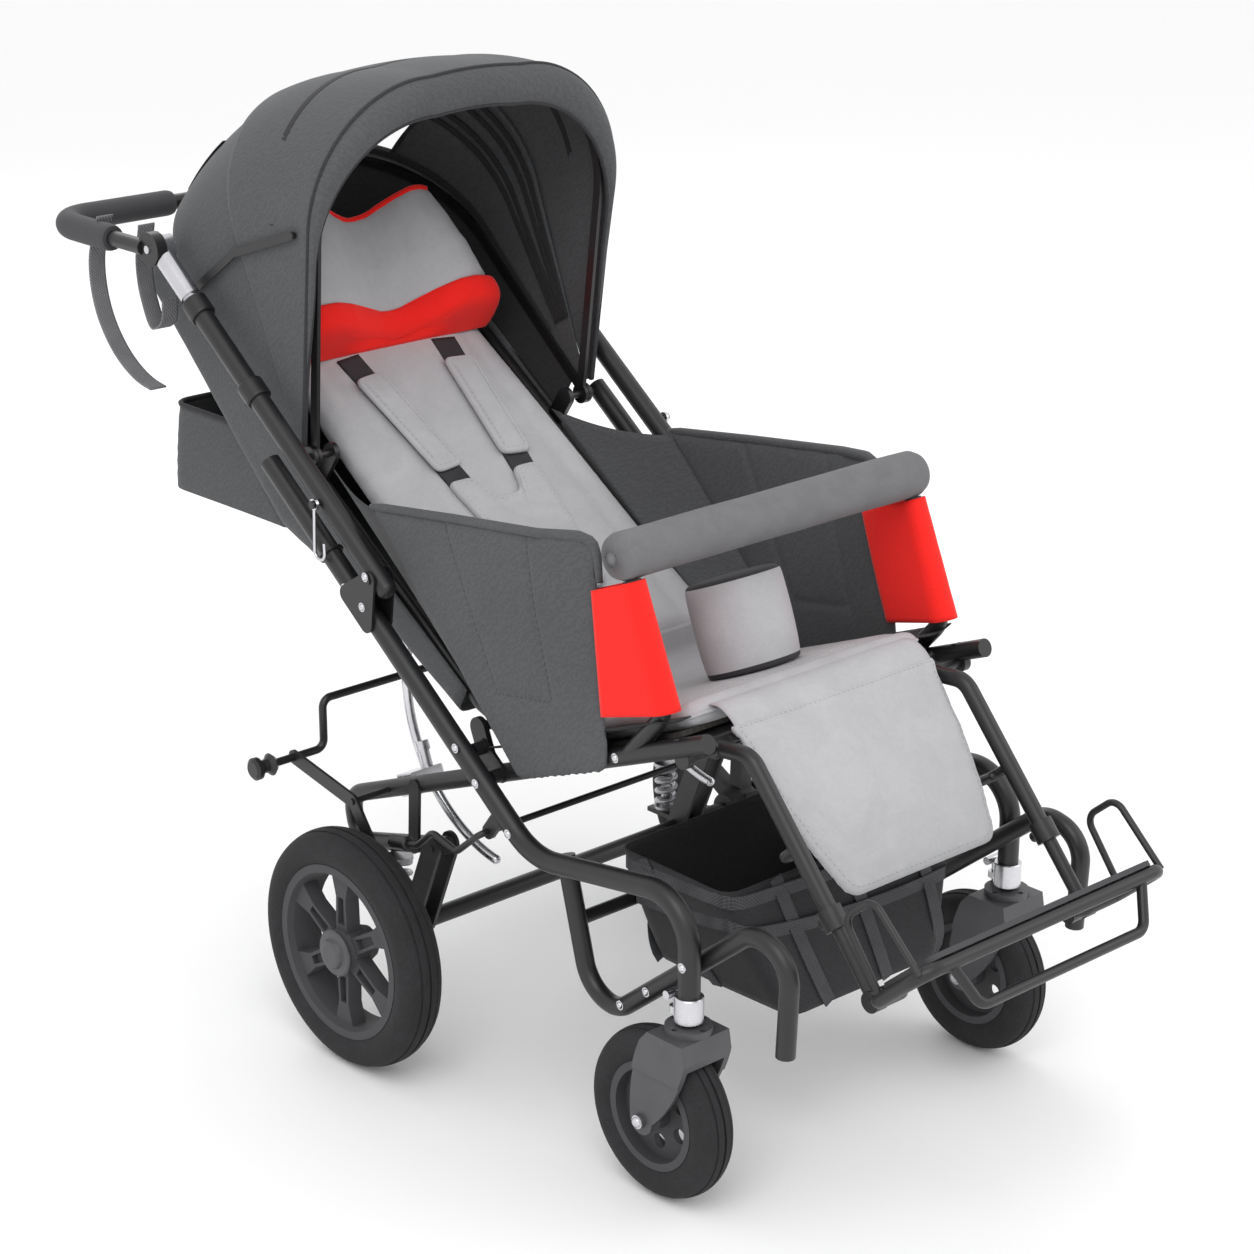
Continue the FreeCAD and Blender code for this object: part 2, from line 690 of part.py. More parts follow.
def lock_hook():
    x = FRAME_X + 19.0
    p = v(x, HOOK_PIN.y, HOOK_PIN.z)
    eye = bar(p - X_AXIS * 1.9, p + X_AXIS * 1.9, 7)
    hook = rod([p, p - v(0, -2, 66), p - v(0, 18, 66), p - v(0, 17, 44)], 2.0, [9, 9])
    eye = eye.fuse(hook)
    return cross_hole(eye, HOOK_PIN, 3 + RUN, x - 9, x + 9).removeSplitter()


# Backrest
BACK_TUBE_X = BAR_X + 4


def back_frame():
    x = BACK_TUBE_X
    h = -BACK_TUBE_R
    low = SEAT_HINGE
    points = [
        v(x, 0, 0) + low + RECLINE_DIR * 2,
        back_point(x, 34, h),
        back_point(x, BACK_LENGTH - 20, h),
        back_point(-x, BACK_LENGTH - 20, h),
        back_point(-x, 34, h),
        v(-x, 0, 0) + low + RECLINE_DIR * 2,
    ]
    tube = rod(points, BACK_TUBE_R, [20, 60, 60, 20])
    eye = bar(v(x - 9, SEAT_HINGE.y, SEAT_HINGE.z), v(x + 9, SEAT_HINGE.y, SEAT_HINGE.z), 12)
    for each in sides(eye):
        tube = tube.fuse(each)
    cross = bar(back_point(-x, BAR_RADIUS, h), back_point(x, BAR_RADIUS, h), 8)
    tube = tube.fuse(cross)
    hole = bar(v(-x - 30, SEAT_HINGE.y, SEAT_HINGE.z), v(x + 30, SEAT_HINGE.y, SEAT_HINGE.z), 6 + RUN)
    return tube.cut(hole).removeSplitter()


def hinge_lug():
    """Lug that stands on a rail and holds a backrest pivot."""
    x0 = RAIL_X - 3.5
    x1 = RAIL_X + 3.5
    foot = seat_point(RAIL_X, 0, -RAIL_DROP)
    lug = link(foot, SEAT_HINGE, 13, x0, x1)
    below = foot - SEAT_UP * 4
    keep = face([
        v(x0, below.y, below.z) - SEAT_DIR * 60,
        v(x0, below.y, below.z) + SEAT_DIR * 60,
        v(x0, below.y, below.z) + SEAT_DIR * 60 + SEAT_UP * 160,
        v(x0, below.y, below.z) - SEAT_DIR * 60 + SEAT_UP * 160,
    ]).extrude(v(x1 - x0, 0, 0))
    lug = lug.common(keep)
    inner = BACK_TUBE_X - 9.5
    pin = bar(v(inner, SEAT_HINGE.y, SEAT_HINGE.z), v(x0 + 2, SEAT_HINGE.y, SEAT_HINGE.z), 6)
    return lug.fuse(pin)


BAR_END = -82.0


def arc_rod(radius, start, end, thick, x):
    """Round rod bent about the backrest pivot."""
    centre = SEAT_HINGE + v(x, 0, 0) + slope(start) * radius
    ring = Part.Face(Part.Wire([Part.makeCircle(thick, centre, square(start))]))
    return ring.revolve(SEAT_HINGE, X_AXIS, end - start)


def recline_bar():
    x = BAR_X - 8
    top = RECLINE - math.degrees(math.asin((BACK_TUBE_R + 8 + SEAT_GAP) / BAR_RADIUS))
    rodlike = arc_rod(BAR_RADIUS, BAR_END, top, 6, x)
    tip = SEAT_HINGE + v(x, 0, 0) + slope(BAR_END) * BAR_RADIUS
    return rodlike.fuse(Part.makeSphere(6, tip)).removeSplitter()


def recline_lock():
    x = BAR_X - 8
    reach = BAR_RADIUS
    rail = RAIL_DROP
    turn = math.degrees(math.asin(rail / reach)) + SEAT_SLOPE
    at = SEAT_HINGE + slope(-turn) * reach
    block = box(x - 13, RAIL_X - SMALL_R + 4, -15, 15, -14, 14)
    block = rounded(block, 5, lambda e: e.BoundBox.XMax < x - 12.9)
    block.rotate(v(0, 0, 0), X_AXIS, -SEAT_SLOPE)
    block.translate(v(0, at.y, at.z))
    plunger = bar(v(x, at.y, at.z), v(x, at.y, at.z) + SEAT_UP * 34, 7)
    knob = bar(v(x, at.y, at.z) + SEAT_UP * 34, v(x, at.y, at.z) + SEAT_UP * 46, 9)
    lever = bar(v(x, at.y, at.z) + SEAT_UP * 40, v(x + 4, at.y, at.z) + SEAT_UP * 40 + SEAT_DIR * 52, 3)
    block = block.fuse(plunger).fuse(knob).fuse(lever)
    block = block.cut(arc_rod(reach, -turn - 24, -turn + 24, 6 + 0.4, x))
    block = block.cut(bar(RAIL_FRONT_END, RAIL_TURN, SMALL_R + 0.1))
    solids = sorted(block.Solids, key=lambda s: s.Volume)
    return solids[-1]


PAD_LOW = 0.5
PAD_CROWN = 5.0


def back_pad():
    pad = cushion(BACK_HALF, BACK_HALF - 26, 26, BACK_LENGTH - 24, PAD_LOW, BACK_THICK, PAD_CROWN, 9)
    for y in (118, 300):
        pad = pad.cut(channel(BACK_HALF + 5, y, PAD_LOW + BACK_THICK + 6.5, 4.5))
    return to_back(pad)


def sling_ring(y, half, depth, roll):
    a = v(-half, y, 0)
    b = v(half, y, 0)
    c = v(half - roll * 0.35, y, -depth + roll)
    d = v(half - roll - 12, y, -depth)
    e = v(-d.x, y, d.z)
    f = v(-c.x, y, c.z)
    k = 0.3 * roll
    edges = [
        Part.makeLine(a, b),
        Part.makeLine(b, c),
        Part.Arc(c, v((c.x + d.x) / 2 + k, y, (c.z + d.z) / 2 - k * 0.6), d).toShape(),
        Part.Arc(d, v(0, y, -depth - 5), e).toShape(),
        Part.Arc(e, v(-(c.x + d.x) / 2 - k, y, (c.z + d.z) / 2 - k * 0.6), f).toShape(),
        Part.makeLine(f, a),
    ]
    return Part.Wire(edges)


SLING_HALF = BACK_TUBE_X + BACK_TUBE_R + 7.6


def sling_stations():
    half = SLING_HALF
    return (
        (52, half - 2, 46, 12),
        (BACK_LENGTH * 0.28, half, 68, 20),
        (BACK_LENGTH * 0.545, half, 142, 50),
        (BACK_LENGTH * 0.78, half, 92, 30),
        (BACK_LENGTH, half - 3, 48, 12),
    )


def sling_form(inset):
    rings = []
    for y, w, depth, roll in sling_stations():
        rings.append(sling_ring(y, w - inset, depth - inset, roll - inset / 2))
    return Part.makeLoft(rings, True, False)


def back_sling():
    """Hanging cloth trough behind the pad, open to the front."""
    wall = 4.0
    inner = sling_form(wall)
    inner.translate(v(0, 0, 0.01))
    sling = to_back(sling_form(0).cut(inner))
    for side in (1, -1):
        x = side * (BAR_X - 8)
        sling = sling.cut(arc_rod(BAR_RADIUS, -40, RECLINE + 4, 6 + 3, x))
    return sorted(sling.Solids, key=lambda part: part.Volume)[-1]


def headrest():
    """Contoured pillow with raised wings and a hollow in the middle."""
    half = 158.0
    low = 543.0
    tall = 150.0
    foot = PAD_LOW + BACK_THICK + PAD_CROWN + 0.4

    def ring(y, deep, lift):
        a = v(-half, y, foot + lift)
        b = v(half, y, foot + lift)
        c = v(half, y, foot + lift + deep)
        d = v(half * 0.42, y, foot + lift + deep - 4)
        e = v(-d.x, y, d.z)
        f = v(-half, y, foot + lift + deep)
        return Part.Wire([
            Part.makeLine(a, b),
            Part.makeLine(b, c),
            Part.Arc(c, v(half * 0.74, y, foot + lift + deep + 14), d).toShape(),
            Part.Arc(d, v(0, y, foot + lift + deep - 22), e).toShape(),
            Part.Arc(e, v(-half * 0.74, y, foot + lift + deep + 14), f).toShape(),
            Part.makeLine(f, a),
        ])

    rings = [ring(low, 44, 0), ring(low + tall * 0.5, 82, 4), ring(low + tall, 94, 16)]
    pillow = Part.makeLoft(rings, True, False)
    return to_back(pillow)


def harness():
    z = PAD_LOW + BACK_THICK + PAD_CROWN + 0.3
    out = []
    for side in (1, -1):
        strap = box(-19, 19, 0, 330, z, z + 3)
        pad = cushion(26, 26, 70, 300, z + 3 + SEAT_GAP, 11, 2, 4)
        for piece in (strap, pad):
            piece.rotate(v(0, 0, 0), v(0, 0, 1), -side * 6.5)
            piece.translate(v(side * 28, 200, 0))
            out.append(to_back(piece))

    def block(half, y):
        corners = [v(-half, y, z), v(half, y, z), v(half, y, z + 12), v(-half, y, z + 12)]
        return Part.makePolygon(corners + corners[:1])

    yoke = Part.makeLoft([block(58, 194), block(24, 96)], True, True)
    gap = bar(v(0, 198, z - 5), v(0, 198, z + 20), 26)
    yoke = yoke.cut(gap)
    out.append(to_back(yoke))
    return out


# Hood
def hood_face(half, top):
    """Arch of the hood over its pivots, seen along the bow plane."""
    base = 16.0
    shoulder = top - 176.0

    def at(x, r):
        return v(x, HOOD_AXIS.y, HOOD_AXIS.z + r)

    bend = half - 176.0 * (1 - math.sqrt(0.5)) + 4
    rise = shoulder + 176.0 * math.sqrt(0.5)
    inner = half - 170.0
    edges = [
        Part.makeLine(at(-half + 6, base), at(half - 6, base)),
        Part.makeLine(at(half - 6, base), at(half, shoulder)),
        Part.Arc(at(half, shoulder), at(bend, rise), at(inner, top - 4)).toShape(),
        Part.Arc(at(inner, top - 4), at(0, top), at(-inner, top - 4)).toShape(),
        Part.Arc(at(-inner, top - 4), at(-bend, rise), at(-half, shoulder)).toShape(),
        Part.makeLine(at(-half, shoulder), at(-half + 6, base)),
    ]
    return Part.Face(Part.Wire(edges))


def hood_panel(half, top, start, end):
    skin = hood_face(half, top)
    skin.rotate(HOOD_AXIS, X_AXIS, start - 90)
    shell = skin.revolve(HOOD_AXIS, X_AXIS, end - start)
    hollow = hood_face(half - HOOD_WALL, top - HOOD_WALL)
    hollow.rotate(HOOD_AXIS, X_AXIS, start - 91)
    room = hollow.revolve(HOOD_AXIS, X_AXIS, end - start + 2)
    return shell.cut(room)


def hood_bow(half, top, angle, thick):
    """Flat hoop from pivot to pivot, with a round boss at each foot."""
    outer = hood_face(half, top)
    inner = hood_face(half - thick, top - thick)
    band = outer.cut(inner).extrude(v(0, 12, 0))
    band.translate(v(0, -6, 0))
    lower = box(-half - 5, half + 5, HOOD_AXIS.y - 20, HOOD_AXIS.y + 20, HOOD_AXIS.z - 20, HOOD_AXIS.z + 17)
    band = band.cut(lower)
    for side in (1, -1):
        foot = v(side * (half - 6.2), HOOD_AXIS.y, HOOD_AXIS.z)
        blade = box(min(0, -side * thick), max(0, -side * thick), -6, 6, 0, 24)
        blade.translate(foot)
        boss = bar(foot - X_AXIS * (side * thick), foot, 13)
        band = band.fuse(blade).fuse(boss)
    hole = bar(v(-half - 9, HOOD_AXIS.y, HOOD_AXIS.z), v(half + 9, HOOD_AXIS.y, HOOD_AXIS.z), 5 + RUN)
    band = band.cut(hole)
    band.rotate(HOOD_AXIS, X_AXIS, angle - 90)
    return band.removeSplitter()


REAR_SKIN = HOOD_HALF - HOOD_WALL - CLEAR
REAR_TOP = HOOD_R - HOOD_WALL - CLEAR
REAR_BOW_HALF = REAR_SKIN - HOOD_WALL - SEAT_GAP
REAR_BOW_TOP = REAR_TOP - HOOD_WALL - SEAT_GAP
BOW_THICK = 5.0
BOW_HALF = REAR_BOW_HALF - BOW_THICK - CLEAR
BOW_TOP = REAR_BOW_TOP - BOW_THICK - CLEAR

# Folding stays: a rear link and a front link that meet at a knee
HOOD_FOLD = 26.0
STAY_DOWN = 178.0
STAY_REAR = HOOD_AXIS + slope(HOOD_REAR - 1.5) * (HOOD_R - STAY_DOWN - 7)
STAY_FRONT = HOOD_AXIS + slope(HOOD_FRONT - 5.5) * (HOOD_R - STAY_DOWN)
STAY_SPAN = STAY_FRONT - STAY_REAR
STAY_KNEE = STAY_REAR + STAY_SPAN * 0.47 + v(0, -STAY_SPAN.z, STAY_SPAN.y) * -0.07
STAY_X = HOOD_HALF + 0.8
STAY_PIN = 2.5
REAR_BOW_AT = HOOD_REAR - 1.2


def front_bow():
    """Front hoop, with three stand-offs that carry the front panel."""
    hoop = hood_bow(BOW_HALF, BOW_TOP, 90, BOW_THICK)
    for x in (-46, 0, 46):
        fall = 4.0 * ((abs(x) + 8) / (HOOD_HALF - HOOD_WALL - 170.0)) ** 2
        reach = HOOD_R - HOOD_WALL - fall - 0.5
        block = box(x - 8, x + 8, -4, 4, BOW_TOP - 4, reach)
        block.translate(HOOD_AXIS)
        hoop = hoop.fuse(block)
    hoop.rotate(HOOD_AXIS, X_AXIS, HOOD_FRONT - 91.5)
    return hoop.removeSplitter()


def stay_rear():
    piece = link(STAY_REAR, STAY_KNEE, 5, STAY_X, STAY_X + 2.2)
    inner = REAR_BOW_HALF - BOW_THICK
    shaft = bar(v(inner, STAY_REAR.y, STAY_REAR.z), v(STAY_X + 1, STAY_REAR.y, STAY_REAR.z), STAY_PIN)
    head = bar(v(STAY_X, STAY_REAR.y, STAY_REAR.z), v(STAY_X + 3.0, STAY_REAR.y, STAY_REAR.z), 4)
    return piece.fuse(shaft).fuse(head).removeSplitter()


def stay_front():
    x = STAY_X + 2.2 + SEAT_GAP
    piece = link(STAY_KNEE, STAY_FRONT, 5, x, x + 2.2)
    inner = HOOD_HALF - HOOD_WALL
    shaft = bar(v(inner, STAY_FRONT.y, STAY_FRONT.z), v(x + 1, STAY_FRONT.y, STAY_FRONT.z), STAY_PIN)
    head = bar(v(STAY_X, STAY_FRONT.y, STAY_FRONT.z), v(x + 3.0, STAY_FRONT.y, STAY_FRONT.z), 4)
    return piece.fuse(shaft).fuse(head).removeSplitter()


def hood_mount():
    """Arm that carries a hood pivot from the backrest frame."""
    along = (HOOD_AXIS - SEAT_HINGE).dot(RECLINE_DIR)
    foot = back_point(0, along, 4)
    arm = link(foot, HOOD_AXIS, 12, BACK_TUBE_X - 5, BACK_TUBE_X + 2)
    start = back_point(BACK_TUBE_X, along - 60, -BACK_TUBE_R)
    end = back_point(BACK_TUBE_X, along + 60, -BACK_TUBE_R)
    arm = arm.cut(bar(start, end, BACK_TUBE_R + 0.1))
    pin = bar(v(BACK_TUBE_X, HOOD_AXIS.y, HOOD_AXIS.z), v(HOOD_HALF - 6, HOOD_AXIS.y, HOOD_AXIS.z), 5)
    return arm.fuse(pin).removeSplitter()


# Seat
def seat_cushion():
    low = -SEAT_SINK - SEAT_THICK + 0.6
    pad = cushion(SEAT_HALF, SEAT_HALF - 10, -SEAT_DEPTH, -18, low, SEAT_THICK, 4, 12)
    pad = pad.cut(channel(SEAT_HALF + 5, -SEAT_DEPTH + 52, 7.2 - SEAT_SINK, 4.5))
    slot = box(-70, 70, -38, -30, -12 - SEAT_SINK, 20)
    return to_seat(pad.cut(slot))


def side_outline():
    """Corners of a side wall: rear top, front top, front foot and rear foot."""
    return [
        (ARM_TOP.y + 434, ARM_TOP.z - 13),
        (ARM_TOP.y + 56, ARM_TOP.z + 37),
        (ARM_TOP.y + 18, ARM_TOP.z - 227),
        (ARM_TOP.y + 170, ARM_TOP.z - 283),
    ]


def side_panel():
    """Padded side wall with a rolled top and three stitched valleys."""
    x0 = RAIL_X + SMALL_R + 0.5
    x1 = FRAME_X - TUBE_R - 5.5
    outline = [v(x0, y, z) for y, z in side_outline()]
    wall = face(outline).extrude(v(x1 - x0, 0, 0))
    wall = rounded(wall, min(4.5, (x1 - x0) * 0.44), lambda e: e.BoundBox.XLength < 0.01)
    for k in (0.28, 0.52, 0.76):
        top = outline[1] + (outline[0] - outline[1]) * k
        foot = outline[2] + (outline[3] - outline[2]) * k
        a = v(x1 + 3.0, top.y, top.z + 9)
        b = v(x1 + 3.0, foot.y, foot.z - 9)
        wall = wall.cut(bar(a, b, 4.2))
    return wall


def gusset():
    """Cloth wedge from the front edge of a side wall, round the armrest tube to its inner side."""
    wall = 3.0
    gap = 4.2
    tail = 14.0
    front_top, front_foot = side_outline()[1:3]
    run = (front_foot[0] - front_top[0]) / (front_foot[1] - front_top[1])

    def ring(z):
        tube = ARM_TOP.y + (z - ARM_TOP.z) * ARM_DIR.y / ARM_DIR.z
        edge = front_top[0] + run * (z - front_top[1]) - 0.4

        def line(reach):
            a = v(RAIL_X + reach, edge, z)
            b = v(RAIL_X + reach, tube, z)
            c = v(RAIL_X, tube - reach, z)
            d = v(RAIL_X - tail, tube - reach, z)
            bend = reach * math.sqrt(0.5)
            middle = v(RAIL_X + bend, tube - bend, z)
            return [a, b, middle, c, d]

        near = line(LEG_R + gap)
        far = line(LEG_R + gap + wall)
        return Part.Wire([
            Part.makeLine(near[0], near[1]),
            Part.Arc(near[1], near[2], near[3]).toShape(),
            Part.makeLine(near[3], near[4]),
            Part.makeLine(near[4], far[4]),
            Part.makeLine(far[4], far[3]),
            Part.Arc(far[3], far[2], far[1]).toShape(),
            Part.makeLine(far[1], far[0]),
            Part.makeLine(far[0], near[0]),
        ])

    return Part.makeLoft([ring(ARM_TOP.z - 20), ring(ARM_TOP.z - 138)], True, True)


def bumper_foam():
    at = v(0, BUMPER_AT.y, BUMPER_AT.z)
    foam = bar(at - X_AXIS * BUMPER_HALF, at + X_AXIS * BUMPER_HALF, BUMPER_R)
    foam = rounded(foam, 14, lambda e: e.Curve.TypeId == "Part::GeomCircle")
    foam = foam.cut(bar(at - X_AXIS * (BUMPER_HALF - 18), at + X_AXIS * (BUMPER_HALF - 18), 10 + RUN))
    peg = bar(v(RAIL_X, at.y, at.z) - ARM_DIR * 60, v(RAIL_X, at.y, at.z), 7.6)
    return foam.cut(peg)


def bumper_core():
    at = v(0, BUMPER_AT.y, BUMPER_AT.z)
    half = BUMPER_HALF - 18.5
    core = bar(at - X_AXIS * half, at + X_AXIS * half, 10)
    peg = bar(v(RAIL_X, at.y, at.z) - ARM_DIR * 62, v(RAIL_X, at.y, at.z), 7)
    return core.fuse(peg).removeSplitter()


def pommel():
    z0 = 4.6 + SEAT_GAP - SEAT_SINK
    y = -SEAT_DEPTH + 92
    low = Part.Ellipse(v(0, y, z0), 62, 44).toShape()
    mid = Part.Ellipse(v(0, y, z0 + POMMEL_H * 0.5), 66, 48).toShape()
    top = Part.Ellipse(v(0, y, z0 + POMMEL_H), 60, 43).toShape()
    block = Part.makeLoft([Part.Wire([low]), Part.Wire([mid]), Part.Wire([top])], True, False)
    block = rounded(block, 5, lambda e: e.BoundBox.ZLength < 0.01 and e.BoundBox.ZMin > z0 + 1)
    return to_seat(block)


# Leg rest
def leg_tube():
    x = LEG_X
    points = [v(x, LEG_PIN.y, LEG_PIN.z), v(x, LEG_BEND.y, LEG_BEND.z), v(x, LEG_END.y, LEG_END.z)]
    tube = rod(points, LEG_R, [26])
    knuckle = bar(points[0] - X_AXIS * 10.6, points[0] + X_AXIS * 10.6, LEG_R + 0.6)
    tube = tube.fuse(knuckle)
    start = points[2] - LEG_DIR * 150
    tube = tube.cut(bar(start, points[2] + LEG_DIR, 8 + RUN))
    return cross_hole(tube, LEG_PIN, 5 + RUN, x - 20, x + 20).removeSplitter()


def leg_clamp():
    end = v(LEG_X, LEG_END.y, LEG_END.z)
    ring = bar(end - LEG_DIR * 24, end, 14)
    ear = bar(end - LEG_DIR * 12, end - LEG_DIR * 12 - LEG_UP * 20, 6)
    ring = ring.fuse(ear)
    return ring.cut(bar(end - LEG_DIR * 26, end + LEG_DIR * 2, LEG_R + RUN)).removeSplitter()


LEG_CROSS_R = 6.0
LEG_CROSS_DROP = 32.0


def leg_cross():
    """Bar that dips under the flap from one leg tube to the other."""
    a = LEG_BEND + LEG_DIR * 110
    dip = LEG_UP * -LEG_CROSS_DROP
    x = X_AXIS * LEG_X
    piece = rod([a + x, a + x + dip, a - x + dip, a - x], LEG_CROSS_R, [12, 12])
    for side in (1, -1):
        x = X_AXIS * (side * LEG_X)
        piece = piece.cut(bar(LEG_BEND + x, LEG_END + x, LEG_R + 0.1))
    return piece


def pad_ring(o, up, half, deep):
    side = half - deep * 0.25
    a = o - X_AXIS * side
    b = o + X_AXIS * side
    c = b + up * deep
    d = a + up * deep
    return Part.Wire([
        Part.makeLine(a, b),
        Part.Arc(b, o + X_AXIS * half + up * (deep * 0.5), c).toShape(),
        Part.Arc(c, o + up * (deep + 6), d).toShape(),
        Part.Arc(d, o - X_AXIS * half + up * (deep * 0.5), a).toShape(),
    ])


LEG_PAD_THICK = 12.0
LEG_PAD_TOP = 160.0
LEG_PAD_FOOT = 119.0


def leg_pad():
    """Calf flap that hangs between the leg tubes and narrows to the foot."""
    rise = LEG_UP * (LEG_CROSS_R + SEAT_GAP - LEG_CROSS_DROP)
    start = LEG_BEND - LEG_DIR * 47 + rise
    end = LEG_BEND + LEG_DIR * (LEG_LENGTH - 24) + rise
    first = pad_ring(start, LEG_UP, LEG_PAD_TOP, LEG_PAD_THICK)
    last = pad_ring(end, LEG_UP, LEG_PAD_FOOT, LEG_PAD_THICK)
    flap = Part.makeLoft([first, last], True, True)

    def at_end(e):
        c = e.CenterOfMass
        ends = abs((c - end).dot(LEG_DIR)) < 0.01 or abs((c - start).dot(LEG_DIR)) < 0.01
        return ends and e.Length > 60 and (c - end).dot(LEG_UP) > LEG_PAD_THICK * 0.5

    return rounded(flap, 4, at_end)


def foot_tube():
    hinge = v(LEG_X, FOOT_HINGE.y, FOOT_HINGE.z)
    start = v(LEG_X, LEG_END.y, LEG_END.z) - LEG_DIR * 140
    tube = bar(start, hinge, 8)
    tube = tube.fuse(bar(hinge - X_AXIS * 8.6, hinge + X_AXIS * 8.6, 12))
    return cross_hole(tube, FOOT_HINGE, 4 + RUN, LEG_X - 20, LEG_X + 20).removeSplitter()


def plate_point(x, out, up):
    return v(x, 0, 0) + FOOT_HINGE + LEG_UP * out - LEG_DIR * up


PLATE_LOW = 4.0


def footplate():
    inset = 26.0
    a = plate_point(-PLATE_HALF + 14, inset, PLATE_LOW)
    b = plate_point(PLATE_HALF - 14, inset, PLATE_LOW)
    c = plate_point(PLATE_HALF - 14, inset + PLATE_DEPTH, PLATE_LOW)
    d = plate_point(-PLATE_HALF + 14, inset + PLATE_DEPTH, PLATE_LOW)
    slab = face([a, b, c, d]).extrude(LEG_DIR * -6)
    slab = rounded(slab, 16, lambda e: abs(e.Length - 6) < 0.01)
    return slab


def foot_frame():
    """Bent loop that carries the plate, with side hoops and a low guard bar."""
    r = 8.0
    low = PLATE_LOW - r - SEAT_GAP
    rear = 26.0 + 8
    front = 26.0 + PLATE_DEPTH - 6
    half = PLATE_HALF
    gate = LEG_X - 22
    loop = rod([
        plate_point(-gate, 0, 0),
        plate_point(-gate, rear - 14, low),
        plate_point(-half, rear - 6, low),
        plate_point(-half, front, low),
        plate_point(half, front, low),
        plate_point(half, rear - 6, low),
        plate_point(gate, rear - 14, low),
        plate_point(gate, 0, 0),
    ], r, [6, 9, 24, 24, 9, 6])
    pin = bar(plate_point(gate - 8, 0, 0), plate_point(LEG_X + 9, 0, 0), 4)
    boss = bar(plate_point(gate - 9, 0, 0), plate_point(gate + 9, 0, 0), 11)
    guard = rod([
        plate_point(-half + 40, front, low),
        plate_point(-half + 62, front - 12, low - 52),
        plate_point(half - 62, front - 12, low - 52),
        plate_point(half - 40, front, low),
    ], 6, [18, 18])
    hoop = rod([
        plate_point(half + 1, rear + 4, low),
        plate_point(half + 1, rear + 10, low + 92),
        plate_point(half + 1, front - 16, low + 92),
        plate_point(half + 1, front - 6, low),
    ], 4, [16, 16])
    frame = loop.fuse(guard)
    for piece in (pin, boss, hoop):
        for each in sides(piece):
            frame = frame.fuse(each)
    return frame.removeSplitter()


# Basket
def basket_ring(half, front, rear, z, corner):
    plate = box(-half, half, front, rear, z, z + 1)
    plate = rounded(plate, corner, lambda e: e.BoundBox.ZLength > 0.9)
    low = [f for f in plate.Faces if abs(f.CenterOfMass.z - z) < 0.01 and f.BoundBox.ZLength < 0.01]
    return low[0].OuterWire


BASKET_REAR = CROSS_AT.y - 11 - SEAT_GAP
BASKET_LOW = 188.0
BASKET_TOP = 306.0
BASKET_FRONT = -WHEELBASE - 22.0


def basket():
    wall = 3.5
    outer = Part.makeLoft([
        basket_ring(124, BASKET_FRONT, BASKET_REAR, BASKET_LOW, 22),
        basket_ring(172, BASKET_FRONT + 34, BASKET_REAR, BASKET_TOP, 26)], True, True)
    rear = BASKET_REAR - wall
    inner = Part.makeLoft([
        basket_ring(124 - wall, BASKET_FRONT + wall, rear, BASKET_LOW + wall, 19),
        basket_ring(172 - wall, BASKET_FRONT + 34 + wall, rear, BASKET_TOP + 0.01, 23)], True, True)
    return outer.cut(inner)


# Pedals
def brake_bar():
    far = BRAKE_PIN + v(0, 116, 22)
    y = far.y
    z = far.z
    knob = REAR_WHEEL_X + 10
    step = RAIL_X + 18
    points = [
        v(-knob, y, z), v(-step, y, z), v(-step, y, z + 64),
        v(step, y, z + 64), v(step, y, z), v(knob, y, z)]
    piece = rod(points, 5, [12, 12, 12, 12])
    x0 = 283.0
    arm = link(v(0, BRAKE_PIN.y, BRAKE_PIN.z), far, 9, x0, x0 + 4)
    heel = link(v(0, BRAKE_PIN.y, BRAKE_PIN.z), BRAKE_PIN + v(0, -34, -46), 9, x0, x0 + 4)
    arm = arm.fuse(heel)
    arm = cross_hole(arm, BRAKE_PIN, 4 + RUN, x0 - 5, x0 + 9)
    for each in sides(arm):
        piece = piece.fuse(each)
    for side in (1, -1):
        at = v(side * knob, y, z)
        spool = turned_x([
            (-2, 0), (-2, 10), (3, 14), (8, 9), (16, 8), (21, 14), (27, 14), (30, 10), (30, 0)], v(0, 0, 0))
        if side < 0:
            spool = mirrored(spool)
        spool.translate(at - X_AXIS * (side * 14))
        piece = piece.fuse(spool)
    return piece.removeSplitter()


def lever_rod():
    p = v(0, LEVER_SHAFT.y, LEVER_SHAFT.z)
    near = -FRAME_X - 16
    points = [
        p + X_AXIS * (FRAME_X + 8),
        p + X_AXIS * near,
        p + v(near, 40, -34),
        p + v(near, 84, -24),
        p + v(near, 112, -50),
        p + v(near, 150, -58),
    ]
    piece = rod(points, 4, [10, 10, 14, 14])
    end = points[-1]
    way = points[-1] - points[-2]
    way.normalize()
    grip = bar(end - way * 22, end + way * 10, 9)
    grip = rounded(grip, 3, lambda e: e.Curve.TypeId == "Part::GeomCircle")
    handle = rod([p + X_AXIS * 80, p + v(80, -34, 30), p + v(80, -52, 26)], 4, [10])
    return piece.fuse(grip).fuse(handle).removeSplitter()


POCKET_RIM = 676.0
POCKET_LOW = 562.0
POCKET_REAR = 572.0


def pocket_block(inset, top, gap):
    half = SLING_HALF - 40 - inset
    front = POCKET_REAR - 230
    body = box(-half, half, front, POCKET_REAR - inset, POCKET_LOW + inset, top)
    body = rounded(body, 22 - inset, lambda e: e.BoundBox.ZLength > 90 and e.BoundBox.YMin > front + 1)
    form = to_back(sling_form(0))
    form.translate(RECLINE_UP * -gap)
    body = body.cut(form)
    return sorted(body.Solids, key=lambda part: part.BoundBox.YMax)[-1]


def pocket():
    """Open pouch hung on the back of the sling."""
    body = pocket_block(0, POCKET_RIM, 0.8)
    room = pocket_block(4.0, POCKET_RIM + 1, 4.5)
    return body.cut(room)


